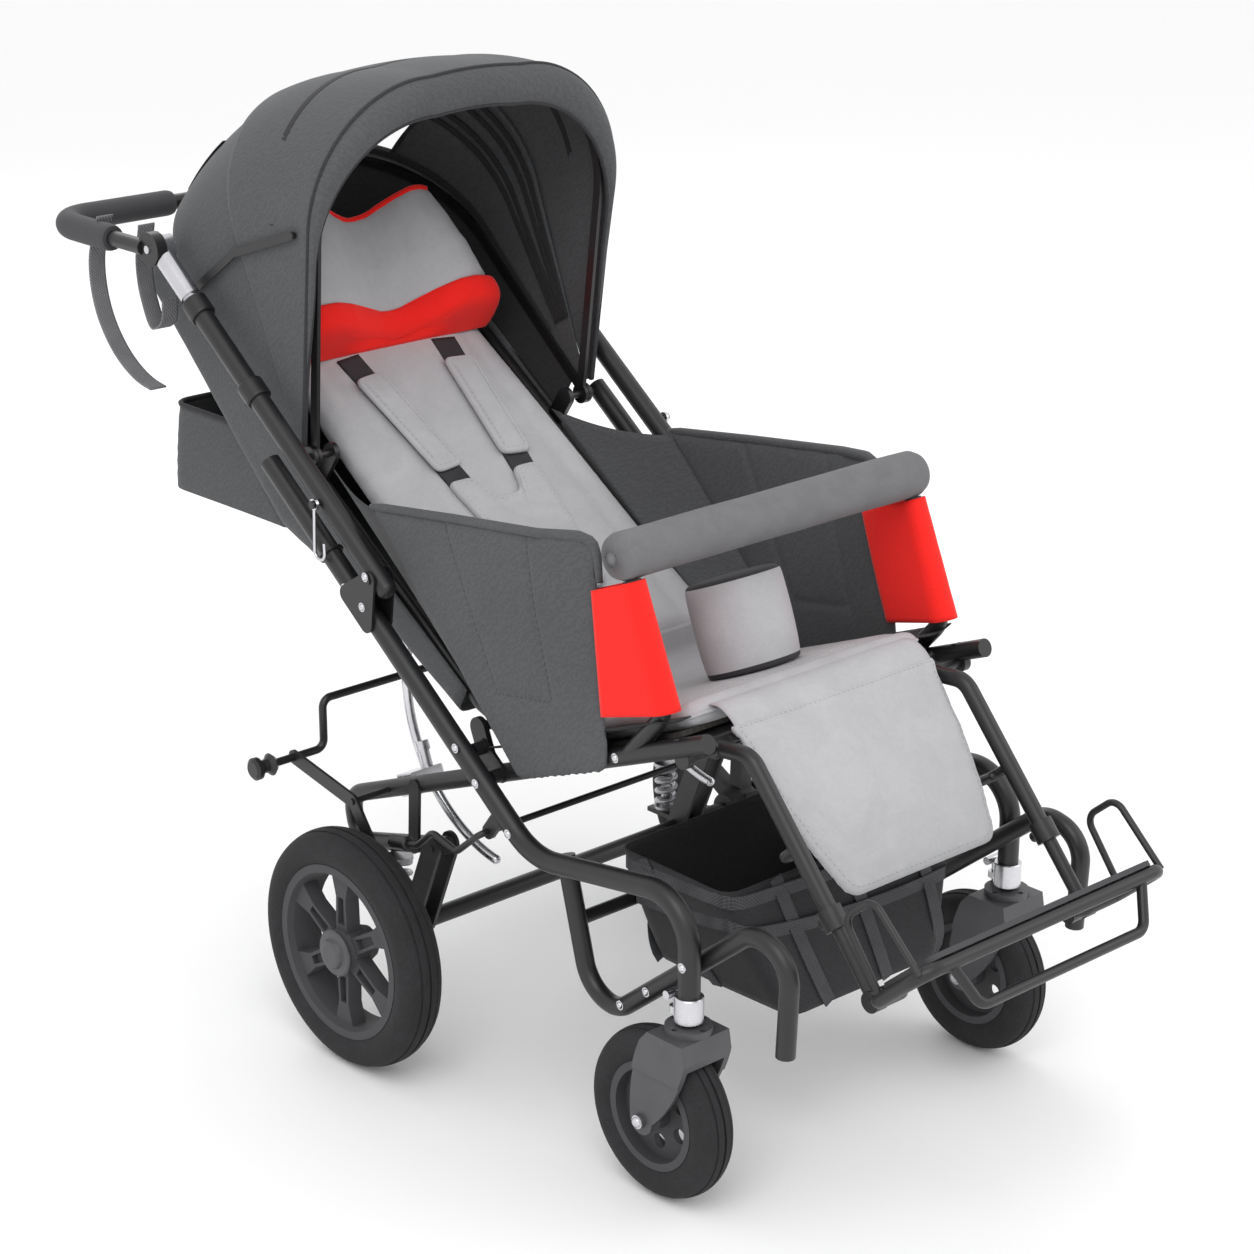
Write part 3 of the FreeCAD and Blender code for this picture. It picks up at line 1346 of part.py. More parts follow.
def build():
    nodes = {}

    def pair(name, shape):
        nodes[name + "_left"] = [shape]
        nodes[name + "_right"] = [mirrored(shape)]

    pair("main_tube", main_tube())
    pair("lower_tube", lower_tube())
    pair("side_frame", side_frame())
    nodes["cross_tubes"] = cross_tubes() + seat_bars()
    nodes["seat_board"] = [seat_board()]
    nodes["armrest_tubes"] = armrest_tubes()
    nodes["caster_heads"] = sides(caster_head())
    nodes["fold_plates"] = sides(fold_plate())
    nodes["recline_locks"] = sides(recline_lock())
    nodes["axle_beam"] = [axle_beam()]
    nodes["suspension_springs"] = sides(spring())
    hub = AXLE + X_AXIS * REAR_WHEEL_X
    pair("rear_tyre", tyre(hub, REAR_WHEEL_R, REAR_TYRE_W, RIM_R))
    pair("rear_rim", rear_rim(hub))
    pair("hub_cap", hub_cap(hub))
    pair("caster_fork", caster_fork())
    pair("caster_tyre", tyre(CASTER_AXLE, CASTER_R, CASTER_TYRE_W, CASTER_R - 36))
    pair("caster_rim", caster_rim())
    pair("swivel_lock", lock_pin())
    handle_side = [handle_tube(), handle_collar(291), handle_collar(HANDLE_TUBE - 13)]
    nodes["handle_tube_left"] = handle_side
    nodes["handle_tube_right"] = [mirrored(piece) for piece in handle_side]
    nodes["lock_hooks"] = sides(lock_hook())
    nodes["handle_slides"] = sides(handle_slide())
    nodes["handle_bar"] = [handle_bar()]
    nodes["handle_grips"] = sides(handle_grip())
    rear_bow = hood_bow(REAR_BOW_HALF, REAR_BOW_TOP, REAR_BOW_AT, BOW_THICK)
    rear_bow = cross_hole(rear_bow, STAY_REAR, STAY_PIN + RUN, -HOOD_HALF, HOOD_HALF)
    nodes["back_frame"] = [back_frame(), rear_bow] + sides(hood_mount())
    nodes["recline_bars"] = sides(recline_bar())
    nodes["back_pad"] = [back_pad()]
    nodes["back_sling"] = [back_sling()]
    nodes["headrest"] = [headrest()]
    nodes["harness"] = harness()
    nodes["hood_rear"] = [hood_panel(REAR_SKIN, REAR_TOP, HOOD_REAR, HOOD_SPLIT)]
    nodes["hood_bow"] = [front_bow()]
    nodes["stay_rear"] = sides(stay_rear())
    nodes["stay_front"] = sides(stay_front())
    front_panel = hood_panel(HOOD_HALF, HOOD_R, HOOD_SPLIT - 2, HOOD_FRONT)
    edge = HOOD_HALF + 5
    nodes["hood_front"] = [cross_hole(front_panel, STAY_FRONT, STAY_PIN + RUN, -edge, edge)]
    nodes["seat_cushion"] = [seat_cushion()]
    nodes["side_panels"] = sides(side_panel())
    nodes["side_gussets"] = sides(gusset())
    nodes["bumper_foam"] = [bumper_foam()]
    nodes["bumper_core"] = [bumper_core()]
    nodes["pommel"] = [pommel()]
    nodes["leg_tubes"] = sides(leg_tube()) + [leg_cross()] + sides(leg_clamp())
    nodes["leg_pad"] = [leg_pad()]
    nodes["foot_tubes"] = sides(foot_tube())
    nodes["footplate"] = [footplate()]
    nodes["foot_frame"] = [foot_frame()]
    nodes["basket"] = [basket()]
    nodes["brake_bar"] = [brake_bar()]
    nodes["lever_rod"] = [lever_rod()]
    nodes["pocket"] = [pocket()]
    return nodes


def middle(nodes):
    """Half way between the front-most and rear-most points."""
    low = min(s.BoundBox.YMin for group in nodes.values() for s in group)
    high = max(s.BoundBox.YMax for group in nodes.values() for s in group)
    return (low + high) / 2


def main():
    os.makedirs("parts", exist_ok=True)
    nodes = build()
    shift = v(0, -middle(nodes), 0)
    for name, group in nodes.items():
        moved = []
        for shape in group:
            for solid in shape.Solids:
                solid = solid.copy()
                solid.translate(shift)
                moved.append(solid)
        whole = moved[0] if len(moved) == 1 else Part.makeCompound(moved)
        whole.exportStep("parts/%s.step" % name)
        volumes = [round(s.Volume / 1000.0, 2) for s in moved]
        print(name, len(moved), volumes, all(s.isValid() for s in moved))


if __name__ == "__main__":
    main()
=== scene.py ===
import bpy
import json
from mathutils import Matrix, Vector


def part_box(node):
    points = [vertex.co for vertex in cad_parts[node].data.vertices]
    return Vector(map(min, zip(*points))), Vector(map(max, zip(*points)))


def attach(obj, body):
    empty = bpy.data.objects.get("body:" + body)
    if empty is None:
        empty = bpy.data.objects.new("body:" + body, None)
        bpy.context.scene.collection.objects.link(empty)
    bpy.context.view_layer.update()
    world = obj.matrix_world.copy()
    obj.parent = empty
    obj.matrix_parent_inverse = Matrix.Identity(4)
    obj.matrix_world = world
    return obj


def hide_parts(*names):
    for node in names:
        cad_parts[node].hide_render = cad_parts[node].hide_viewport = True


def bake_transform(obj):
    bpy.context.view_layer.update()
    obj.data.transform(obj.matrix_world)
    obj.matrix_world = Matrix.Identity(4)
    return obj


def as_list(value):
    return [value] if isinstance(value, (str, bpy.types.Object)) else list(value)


bl_info = {
    "name": "Special needs stroller",
    "version": (1, 0, 0),
    "blender": (4, 5, 0),
    "location": "View3D > Sidebar > Stroller",
    "description": "Dresses a stroller frame with its padded cloth, foam, webbing and fittings",
    "category": "Object",
}

import json
import math

import bmesh
import bpy
import numpy as np
from mathutils import Matrix, Vector
from mathutils.bvhtree import BVHTree

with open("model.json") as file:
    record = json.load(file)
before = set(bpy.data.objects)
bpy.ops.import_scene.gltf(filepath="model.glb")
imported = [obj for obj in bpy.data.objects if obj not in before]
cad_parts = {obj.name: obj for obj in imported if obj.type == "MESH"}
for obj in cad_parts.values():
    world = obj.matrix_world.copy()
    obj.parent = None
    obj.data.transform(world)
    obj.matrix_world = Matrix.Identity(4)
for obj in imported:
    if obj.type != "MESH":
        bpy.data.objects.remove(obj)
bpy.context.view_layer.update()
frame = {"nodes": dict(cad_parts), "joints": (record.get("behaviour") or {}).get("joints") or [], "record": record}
JOINTS = {joint["name"]: joint for joint in frame["joints"]}
ACROSS = np.array((1.0, 0.0, 0.0))
UPRIGHT = (0, 0, 1)
SKEW = (0.31, 0.52, 0.79)  # lies along none of the part's lines
SIDES = ((1, "left"), (-1, "right"))


# Layout, in millimetres
def pivot(name):
    return np.array(JOINTS[name]["pos_m"]) * 1000


def heading(name):
    return np.array(JOINTS[name]["axis"], float)


class Slope:
    """A plane that leans fore and aft: x sideways, then along it and up from it."""

    def __init__(self, origin, along):
        self.origin = np.array((0.0, origin[1], origin[2]))
        self.along = np.array(along)
        self.up = np.array((0.0, -along[2], along[1]))

    def __call__(self, x, along, up=0.0):
        x, along, up = np.broadcast_arrays(*(np.asarray(n, float) for n in (x, along, up)))
        return self.origin + x[..., None] * ACROSS + along[..., None] * self.along + up[..., None] * self.up


HINGE = pivot("backrest_recline")
SEAT = Slope(HINGE, heading("pommel_slide"))
BACK = Slope(HINGE, heading("headrest_height"))
LEG = Slope(pivot("legrest_raise") + (0, -50, 4), -heading("footrest_reach"))
HOOD = pivot("hood_fold")
AXLE = pivot("rear_wheel_left_spin")[1]
BACK_FACE = 36.4  # the back cushion's front, above the BACK slope
FRONT_ARCH = (238, 452)  # half width and height of the hood's front cloth
REAR_ARCH = (233, 447)
VISOR_ANGLE = 96.8  # the hood's front edge, in degrees up from straight back
VENT_HALF = 158  # half width of the opening in the hood's rear cloth
WALL = 234.4  # a side wall's inner face
ARM, ARM_Y, ARM_Z, ARM_LEAN = 222, -379.8, 684.7, 0.3987  # the armrest tube's front leg
HANDLE, HANDLE_BEND = 272.5, 48  # the push handle's half width and corner radius


def stacked(x, y, z):
    return np.stack(np.broadcast_arrays(*(np.asarray(n, float) for n in (x, y, z))), -1)


def beside(x, y, z):
    """Points by their distance behind the rear axle and above the floor."""
    return stacked(x, np.asarray(y, float) + AXLE, z)


def round_hood(x, reach, angle):
    turn = np.radians(angle)
    return stacked(x, HOOD[1] + reach * np.cos(turn), HOOD[2] + reach * np.sin(turn))


def hood_angle(points):
    return np.degrees(np.arctan2(points[:, 2] - HOOD[2], points[:, 1] - HOOD[1]))


# Lines
def unit(vectors):
    return vectors / np.linalg.norm(vectors, axis=-1, keepdims=True)


def lerp(a, b, t):
    return a * (1 - t) + b * t


def smooth(t):
    t = np.clip(t, 0, 1)
    return t * t * (3 - 2 * t)


def gone(line):
    """The way gone along a line at each of its points."""
    return np.concatenate([[0], np.cumsum(np.linalg.norm(np.diff(line, axis=0), axis=1))])


def spaced(line, count, closed=False):
    """The same line with its points at even distances."""
    line = np.asarray(line, float)
    if closed:
        line = np.vstack([line, line[:1]])
    way = gone(line)
    wanted = np.linspace(0, way[-1], count, endpoint=not closed)
    return np.stack([np.interp(wanted, way, axis) for axis in line.T], 1)


def through(points, count):
    """A smooth line through the points."""
    points = np.asarray(points, float)
    way = gone(points)
    lean = np.gradient(points, way, axis=0)
    wanted = np.linspace(0, way[-1], count)
    at = np.clip(np.searchsorted(way, wanted, "right") - 1, 0, len(points) - 2)
    span = (way[at + 1] - way[at])[:, None]
    t = (wanted[:, None] - way[at][:, None]) / span
    return (points[at] * (2 * t**3 - 3 * t**2 + 1) + lean[at] * span * (t**3 - 2 * t**2 + t)
            + points[at + 1] * (3 * t**2 - 2 * t**3) + lean[at + 1] * span * (t**3 - t**2))


def eased(corners, radii, count):
    """A closed outline with its corners rounded."""
    corners = np.asarray(corners, float)
    out = []
    for i, corner in enumerate(corners):
        a = corner + unit(corners[i - 1] - corner) * radii[i]
        b = corner + unit(corners[(i + 1) % len(corners)] - corner) * radii[i]
        for t in np.linspace(0, 1, 9):
            out.append(a * (1 - t) ** 2 + corner * 2 * t * (1 - t) + b * t**2)
    return spaced(out, count, True)


def mirrored(corners, radii, count):
    """A rounded outline that is the same on both sides, from the corners of its right half."""
    left = [(-x, y) for x, y in corners]
    return eased([left[0], *corners, *left[:0:-1]], [radii[0], *radii, *radii[:0:-1]], count)


def arc(a, b, c, count):
    """Points on the round line from a through b to c, in a plane."""
    a, b, c = (complex(*p) for p in (a, b, c))
    w = (c - a) / (b - a)
    middle = (b - a) * (w - abs(w) ** 2) / (2j * w.imag) + a
    first, half, last = (np.angle(p - middle) for p in (a, b, c))
    half = first + (half - first + math.pi) % (2 * math.pi) - math.pi
    last = half + (last - half + math.pi) % (2 * math.pi) - math.pi
    return (middle.real, middle.imag) + abs(a - middle) * around(np.linspace(first, last, count))


def around(turn):
    return np.stack([np.cos(turn), np.sin(turn)], 1)


def ring(radius, count):
    return radius * around(np.linspace(0, 2 * math.pi, count, endpoint=False))


def strip(width, thick):
    """The section of a flat band with soft edges."""
    a, b = width / 2, thick / 2
    return eased([(a, -b), (a, b), (-a, b), (-a, -b)], [b * 0.9] * 4, 20)


# Meshes, as points and faces
def loft(rings, ends=(True, True)):
    rings = np.asarray(rings, float)
    n, m = rings.shape[:2]
    points = rings.reshape(-1, 3)
    faces = [(i * m + j, i * m + (j + 1) % m, (i + 1) * m + (j + 1) % m, (i + 1) * m + j)
             for i in range(n - 1) for j in range(m)]
    for wanted, row in zip(ends, (0, n - 1)):
        if wanted:
            faces += [(len(points), row * m + j, row * m + (j + 1) % m) for j in range(m)]
            points = np.vstack([points, rings[row].mean(0)])
    return points, faces


def spread(rows):
    rows = np.asarray(rows, float)
    n, m = rows.shape[:2]
    faces = [(i * m + j, i * m + j + 1, (i + 1) * m + j + 1, (i + 1) * m + j)
             for i in range(n - 1) for j in range(m - 1)]
    return rows.reshape(-1, 3), faces


def swept(line, section, across=None, swell=1.0):
    """Rings of a section carried along a line; across is its wide direction."""
    line = np.asarray(line, float)
    ahead = unit(np.gradient(line, axis=0))
    if across is None:
        wide = [unit(np.cross(ahead[0], SKEW))]
        for way in ahead[1:]:
            wide.append(unit(wide[-1] - way * np.dot(wide[-1], way)))
        wide = np.array(wide)
    else:
        wide = np.broadcast_to(np.asarray(across, float), line.shape)
        wide = unit(wide - ahead * np.sum(wide * ahead, 1)[:, None])
    deep = np.cross(ahead, wide)
    size = np.broadcast_to(swell, len(line))[:, None, None]
    return line[:, None] + size * (wide[:, None] * section[None, :, :1] + deep[:, None] * section[None, :, 1:])


def pad(outline, put, low, thick, crown, edge):
    """A crowned cushion on an outline; put places (u, v, height)."""
    line = np.asarray(outline, float)
    ahead = unit(np.roll(line, -1, 0) - np.roll(line, 1, 0))
    inward = np.stack([-ahead[:, 1], ahead[:, 0]], 1)
    centre = line.mean(0)
    steps = [(edge, 0.93, low), (edge, 0.5, low), (edge * 0.8, 0.0, low), (edge * 0.25, 0.0, low + thick * 0.12),
             (0.0, 0.0, low + thick * 0.42), (edge * 0.16, 0.0, low + thick * 0.74),
             (edge * 0.52, 0.0, low + thick * 0.93), (edge, 0.0, low + thick)]
    for share in (0.08, 0.18, 0.32, 0.5, 0.72, 0.93):
        steps.append((edge, share, low + thick + crown * (1 - (1 - share) ** 2.2)))
    rings = []
    for inset, share, height in steps:
        flat = lerp(line + inward * inset, centre, share)
        rings.append(put(*flat.T, height))
    return loft(rings)


def bag_form(rings, shares):
    """An open bag: its walls' rings on a floor that closes in by the shares."""
    low = rings[0]
    return loft([lerp(low.mean(0), low, share) for share in shares] + rings, (True, False))


def dome(centre, axis, radius=4.2, height=3.4):
    """The round head of a bolt, on a washer."""
    wide = unit(np.cross(axis, SKEW))
    spokes = ring(1, 18) @ (wide, np.cross(axis, wide))
    profile = ((-0.4, 1.35), (0.8, 1.35), (0.9, 1), (height * 0.55, 0.94), (height * 0.85, 0.66), (height, 0.2))
    return loft([centre + axis * along + spokes * radius * share for along, share in profile])


def joined(parts):
    points, faces, start = [], [], 0
    for some, more in parts:
        points.append(some)
        faces += [tuple(start + k for k in one) for one in more]
        start += len(some)
    return np.vstack(points), faces


# Objects
def piece(name, form, finish, body=None, slot=None, stands_for=(), sharp=None):
    """A new object from points in millimetres and faces."""
    points, faces = form
    mesh = bpy.data.meshes.new(name)
    mesh.from_pydata((np.asarray(points) / 1000).tolist(), [], faces)
    mesh.validate()
    obj = bpy.data.objects.new(name, mesh)
    bpy.context.scene.collection.objects.link(obj)
    mesh.materials.append(bpy.data.materials[finish])
    outward(mesh)
    rounded(mesh)
    if sharp:
        mesh.set_sharp_from_angle(angle=math.radians(sharp))
    if body:
        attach(obj, body)
    if stands_for:
        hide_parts(*stands_for)
    return obj


def outward(mesh):
    form = bmesh.new()
    form.from_mesh(mesh)
    bmesh.ops.recalc_face_normals(form, faces=form.faces)
    form.to_mesh(mesh)
    form.free()


def in_mm(name):
    return getattr(bpy.context.scene.stroller_sizes, name) * 1000


def rounded(mesh):
    mesh.polygons.foreach_set("use_smooth", [True] * len(mesh.polygons))


def read(items, key):
    out = np.zeros(len(items) * 3)
    items.foreach_get(key, out)
    return out.reshape(-1, 3)


def places(mesh):
    return read(mesh.vertices, "co")


def normals(mesh):
    return read(mesh.vertex_normals, "vector")


def set_places(mesh, points):
    mesh.vertices.foreach_set("co", np.asarray(points, np.float32).ravel())
    mesh.update()


def thicken(obj, thick, inward=True):
    """Gives a sheet of cloth its thickness."""
    skin = obj.modifiers.new("cloth", "SOLIDIFY")
    skin.thickness = thick / 1000
    skin.offset = -1 if inward else 1
    skin.use_even_offset = True


def subdivide(obj):
    fine = obj.modifiers.new("fine", "SUBSURF")
    fine.levels = fine.render_levels = 1


def sheet(flat, held, rests_on):
    """Works out the area that a cloth was cut to from its flat size in metres, and a share of that area; it keeps
    neither.
    """
    whole = flat[0] * flat[1]
    least = 0.31 * whole
    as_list(rests_on)


def cloth(name, form, look, swells, thick, flat, held, rests_on, blend=None):
    """A cloth of its own thickness; look is what piece takes after the form."""
    obj = piece(name, form, *look)
    crumple(obj, *swells)
    thicken(obj, thick)
    if blend:
        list(blend)
        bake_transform(obj)
    sheet(flat, held, rests_on)
    return obj


def puff(obj, most, voxel=5.0):
    """Swells a sewn cover over its filling, with the swelling capped."""
    pressure, steps = 4.0, 20
    scene = bpy.context.scene
    kept = list(obj.data.materials)
    even = obj.modifiers.new("even", "REMESH")
    even.mode = "VOXEL"
    even.voxel_size = voxel / 1000
    graph = bpy.context.evaluated_depsgraph_get()
    graph.update()
    mesh = bpy.data.meshes.new_from_object(obj.evaluated_get(graph))
    obj.modifiers.clear()
    obj.data = mesh
    mesh.materials.clear()
    for material in kept:
        mesh.materials.append(material)
    before = places(mesh)
    cover = obj.modifiers.new("cover", "CLOTH")
    cover.settings.quality = 4
    cover.settings.mass = 0.3
    cover.settings.use_pressure = True
    cover.settings.uniform_pressure_force = pressure
    cover.settings.effector_weights.gravity = 0
    cover.point_cache.frame_start = 1
    cover.point_cache.frame_end = steps
    for step in range(1, steps + 1):
        scene.frame_set(step)
    shown = obj.evaluated_get(bpy.context.evaluated_depsgraph_get())
    after = places(shown.to_mesh())
    shown.to_mesh_clear()
    obj.modifiers.remove(cover)
    scene.frame_set(1)
    move = after - before
    far = np.linalg.norm(move, axis=1)[:, None]
    set_places(mesh, before + move * np.minimum(1, most / 1000 / np.maximum(far, 1e-9)))
    rounded(mesh)
    subdivide(obj)


def apart(points, line):
    """How far each point is from a line of points, in the same unit."""
    best = np.full(len(points), 1e9)
    for a, b in zip(line[:-1], line[1:]):
        span = b - a
        t = np.clip((points - a) @ span / max(span @ span, 1e-12), 0, 1)
        best = np.minimum(best, np.linalg.norm(points - a - t[:, None] * span, axis=1))
    return best


def groove(obj, lines, depth, width):
    """Pulls a seam into a padded surface along lines in millimetres."""
    mesh = obj.data
    points = places(mesh) * 1000
    facing = normals(mesh)
    pull = np.zeros(len(points))
    for line in lines:
        pull = np.maximum(pull, np.exp(-((apart(points, line) / width) ** 2)))
    set_places(mesh, (points - facing * (pull * depth)[:, None]) / 1000)


def crumple(obj, height, size, seed=0.0):
    """Small uneven swells and dents, the same each time."""
    mesh = obj.data
    points = places(mesh)
    facing = normals(mesh)
    wave = np.zeros(len(points))
    for k in range(1, 6):
        turn = np.array((math.sin(k * 2.1 + seed), math.sin(k * 3.7 + 1.3 + seed), math.cos(k * 1.9 + seed)))
        wave += np.sin(points @ turn * (1000 / size) * (0.6 + 0.35 * k) + k * 1.7 + seed) / k
    set_places(mesh, points + facing * (wave * height / 2000)[:, None])


def laid(obj, line, lift):
    """A line dropped on the surface of an object, with the way it faces."""
    graph = bpy.context.evaluated_depsgraph_get()
    graph.update()
    skin = BVHTree.FromObject(obj, graph)
    found, facing = [], []
    for point in np.asarray(line) / 1000:
        spot, normal, _, _ = skin.find_nearest(Vector(point))
        found.append(np.array(spot) * 1000 + np.array(normal) * lift)
        facing.append(np.array(normal))
    return np.array(found), np.array(facing)


def stitches(name, obj, lines, body, finish="thread_grey", slot="cloth_light"):
    """Rows of thread stitches lying on a surface."""
    length, gap, width, lift = in_mm("stitch"), 2.6, 0.9, 0.15
    parts = []
    for line in lines:
        count = max(2, int(gone(line)[-1] / (length + gap)))
        spots, facing = laid(obj, spaced(line, count * 2 + 1), lift)
        for k in range(count):
            a, b, up = spots[2 * k], spots[2 * k + 1], facing[2 * k]
            b = a + (b - a) / max(np.linalg.norm(b - a), 1e-6) * length
            wide = np.cross(b - a, up)
            wide = wide / max(np.linalg.norm(wide), 1e-6) * width / 2
            middle = (a + b) / 2
            points = np.array([a, middle + wide, middle - wide, b, middle + up * width / 2])
            parts.append((points, [(0, 1, 4), (1, 3, 4), (3, 2, 4), (2, 0, 4)]))
    piece(name, joined(parts), finish, body, slot)


# Finishes
class Value:
    """One output of a finish's nodes; sums on it add Math nodes."""

    def __init__(self, finish, socket):
        self.finish = finish
        self.socket = socket

    def sum(self, operation, a, b):
        return self.finish.node("ShaderNodeMath", {"operation": operation}, {0: a, 1: b})

    def __add__(self, other):
        return self.sum("ADD", self, other)

    __radd__ = __add__

    def __sub__(self, other):
        return self.sum("SUBTRACT", self, other)

    def __rsub__(self, other):
        return self.sum("SUBTRACT", other, self)

    def __mul__(self, other):
        return self.sum("MULTIPLY", self, other)

    __rmul__ = __mul__

    def between(self, low, high):
        return self.finish.node("ShaderNodeMapRange", {"interpolation_type": "SMOOTHSTEP"}, {0: self, 1: low, 2: high})


class Finish:
    """The nodes of one material."""

    def __init__(self, name):
        self.material = bpy.data.materials.new(name)
        self.material.use_nodes = True
        self.tree = self.material.node_tree
        self.tree.nodes.clear()
        self.place = self.node("ShaderNodeTexCoord", {}, {}, "Object")

    def node(self, kind, settings, sockets, output=0):
        made = self.tree.nodes.new(kind)
        for key, value in settings.items():
            setattr(made, key, value)
        for key, value in sockets.items():
            if isinstance(value, Value):
                self.tree.links.new(value.socket, made.inputs[key])
            else:
                made.inputs[key].default_value = value
        return Value(self, made.outputs[output]) if made.outputs else None

    def noise(self, size, detail=2.0, roughness=0.5, distortion=0.0):
        """Cloudy change over about size millimetres."""
        return self.node("ShaderNodeTexNoise", {}, {
            "Vector": self.place, "Scale": 1000 / size, "Detail": detail, "Roughness": roughness,
            "Distortion": distortion})

    def waves(self, size, direction, distortion=0.0, detail=2.0, detail_scale=1.0):
        """Ribs about size millimetres apart."""
        return self.node("ShaderNodeTexWave", {"bands_direction": direction}, {
            "Vector": self.place, "Scale": 2 * math.pi * 50 / size, "Distortion": distortion, "Detail": detail,
            "Detail Scale": detail_scale}, 1)

    def cells(self, size):
        return self.node("ShaderNodeTexVoronoi", {}, {"Vector": self.place, "Scale": 1000 / size})

    def done(self, colour, tone, dark, light, relief=None, **sockets):
        """Shades a colour from dark to light by tone; relief is its height, depth in millimetres and strength."""
        sockets["base_color"] = self.node("ShaderNodeMix", {"data_type": "RGBA"}, {
            0: tone, 6: shade(colour, dark), 7: shade(colour, light)}, 2)
        if relief:
            height, depth, strength = relief
            sockets["normal"] = self.node("ShaderNodeBump", {}, {
                "Strength": strength, "Distance": depth / 1000, "Height": height})
        named = {key.replace("_", " ").title().replace("Ior", "IOR"): value for key, value in sockets.items()}
        shader = self.node("ShaderNodeBsdfPrincipled", {}, named)
        self.node("ShaderNodeOutputMaterial", {}, {"Surface": shader})


def shade(colour, factor):
    return (*[min(1.0, channel * factor) for channel in colour[:3]], 1.0)


def suede_finish(name, colour, mottle=0.1, depth=0.5):
    """Brushed pile with faint cloudy patches and a fine, worm-like press pattern."""
    f = Finish(name)
    patches = f.noise(70, 3, 0.55, 0.8)
    nap = f.noise(7, 3, 0.6, 1.2)
    pile = f.noise(0.8, 2, 0.6)
    worm = f.waves(5.2, "DIAGONAL", 10, 3, 1.6)
    tone = (patches - 0.5) * 1.2 + (nap - 0.5) * 0.7 + (pile - 0.5) * 0.4 + 0.5
    f.done(colour, tone.between(0.0, 1.0), 1 - mottle, 1 + mottle * 0.7,
           (nap * 0.3 + pile * 0.3 + worm * 0.35, depth, 0.35),
           roughness=0.97 - pile * 0.1, sheen_weight=0.1, sheen_roughness=0.5, specular_ior_level=0.2)


def crinkle_finish(name, colour, depth=0.45, contrast=0.14):
    """Woven shell cloth pressed with a fine, worm-like pattern."""
    f = Finish(name)
    worm = f.waves(5.4, "DIAGONAL", 11, 3, 1.8)
    fine = f.noise(2.2, 3, 0.6, 1.2)
    cloud = f.noise(130, 2, 0.5)
    thread = f.waves(1.2, "X") * f.waves(1.2, "Z")
    tone = worm * 0.35 + fine * 0.35 + cloud * 0.5 - 0.1
    f.done(colour, tone.between(0.1, 0.95), 1 - contrast, 1 + contrast,
           (worm * 0.5 + fine * 0.35 + thread * 0.15, depth, 0.45),
           roughness=0.9 - fine * 0.14, sheen_weight=0.08, sheen_roughness=0.45, specular_ior_level=0.25)


def webbing_finish(name, colour):
    """Ribbed tape with a herringbone of threads."""
    f = Finish(name)
    rib = f.waves(2.1, "DIAGONAL", 1.2)
    cross = f.waves(2.9, "X", 1.0)
    wear = f.noise(30, 3, 0.6)
    tone = rib * 0.5 + cross * 0.3 + wear * 0.5
    f.done(colour, tone.between(0.2, 1.1), 0.6, 1.35, (rib + cross * 0.6, 0.35, 0.6),
           roughness=0.86 - wear * 0.2, specular_ior_level=0.3)


def foam_finish(name, colour, pore=1.6):
    """Closed-cell foam: pores, rubbed patches and a dull skin."""
    f = Finish(name)
    pores = f.cells(pore)
    rubbed = f.noise(28, 3, 0.6, 0.4)
    grain = f.noise(0.8, 2, 0.6)
    tone = (rubbed - 0.5) * 0.8 + pores * 0.35 + (grain - 0.5) * 0.5 + 0.35
    f.done(colour, tone.between(0.0, 1.0), 0.86, 1.12, (pores + grain * 0.4, 0.35, 0.5),
           roughness=0.88 - rubbed * 0.2, specular_ior_level=0.3)


def coated_finish(name, colour, gloss=0.4):
    """Powder coat: orange peel, dust and rubbed spots."""
    f = Finish(name)
    peel = f.noise(1.8, 2, 0.5)
    dust = f.noise(60, 4, 0.62, 0.3)
    rub = f.noise(14, 5, 0.7, 0.6).between(0.62, 0.78)
    f.done(colour, dust * 0.55 + rub * 0.3, 0.8, 1.8, (peel, 0.12, 0.35),
           roughness=gloss - 0.06 + dust * 0.16 + rub * 0.08, coat_weight=0.12, coat_roughness=0.3)


def plated_finish(name, colour, blur=0.16):
    """Plated steel with fine brushing and smudges."""
    f = Finish(name)
    smudge = f.noise(35, 4, 0.65, 0.5)
    brush = f.noise(1.1, 2, 0.5)
    f.done(colour, smudge, 0.82, 1.05, (brush, 0.03, 0.3), metallic=1.0,
           roughness=blur + smudge * 0.14 + brush * 0.05)


def moulded_finish(name, colour, gloss=0.5):
    """Moulded plastic with a fine spark texture and scuffs."""
    f = Finish(name)
    spark = f.noise(0.7, 3, 0.6)
    scuff = f.noise(22, 5, 0.72, 0.8).between(0.58, 0.8)
    cloud = f.noise(50, 2, 0.5)
    f.done(colour, cloud * 0.5 + scuff * 0.4, 0.82, 1.7, (spark, 0.1, 0.45),
           roughness=gloss + spark * 0.12 + scuff * 0.1)


def rubber_finish(name, colour):
    """Tyre rubber: dusty, scuffed and slightly pitted."""
    f = Finish(name)
    pits = f.noise(1.2, 3, 0.65)
    dust = f.noise(40, 5, 0.68, 0.6)
    scuff = f.waves(5, "X", 14, 3, 2.0)
    tone = dust * 0.75 + scuff * 0.12 + (pits - 0.5) * 0.2
    f.done(colour, tone.between(0.2, 0.9), 0.75, 1.9, (pits * 0.7 + scuff * 0.15, 0.25, 0.5),
           roughness=0.72 + dust * 0.2, specular_ior_level=0.4)


def board_finish(name, colour):
    """Dark stained ply under the seat, with grain along it."""
    f = Finish(name)
    grain = f.waves(9, "X", 5, 4, 1.2)
    pore = f.noise(2, 4, 0.7)
    f.done(colour, grain * 0.6 + pore * 0.4, 0.6, 1.5, (grain * 0.4 + pore, 0.15, 0.5), roughness=0.62 + pore * 0.2)


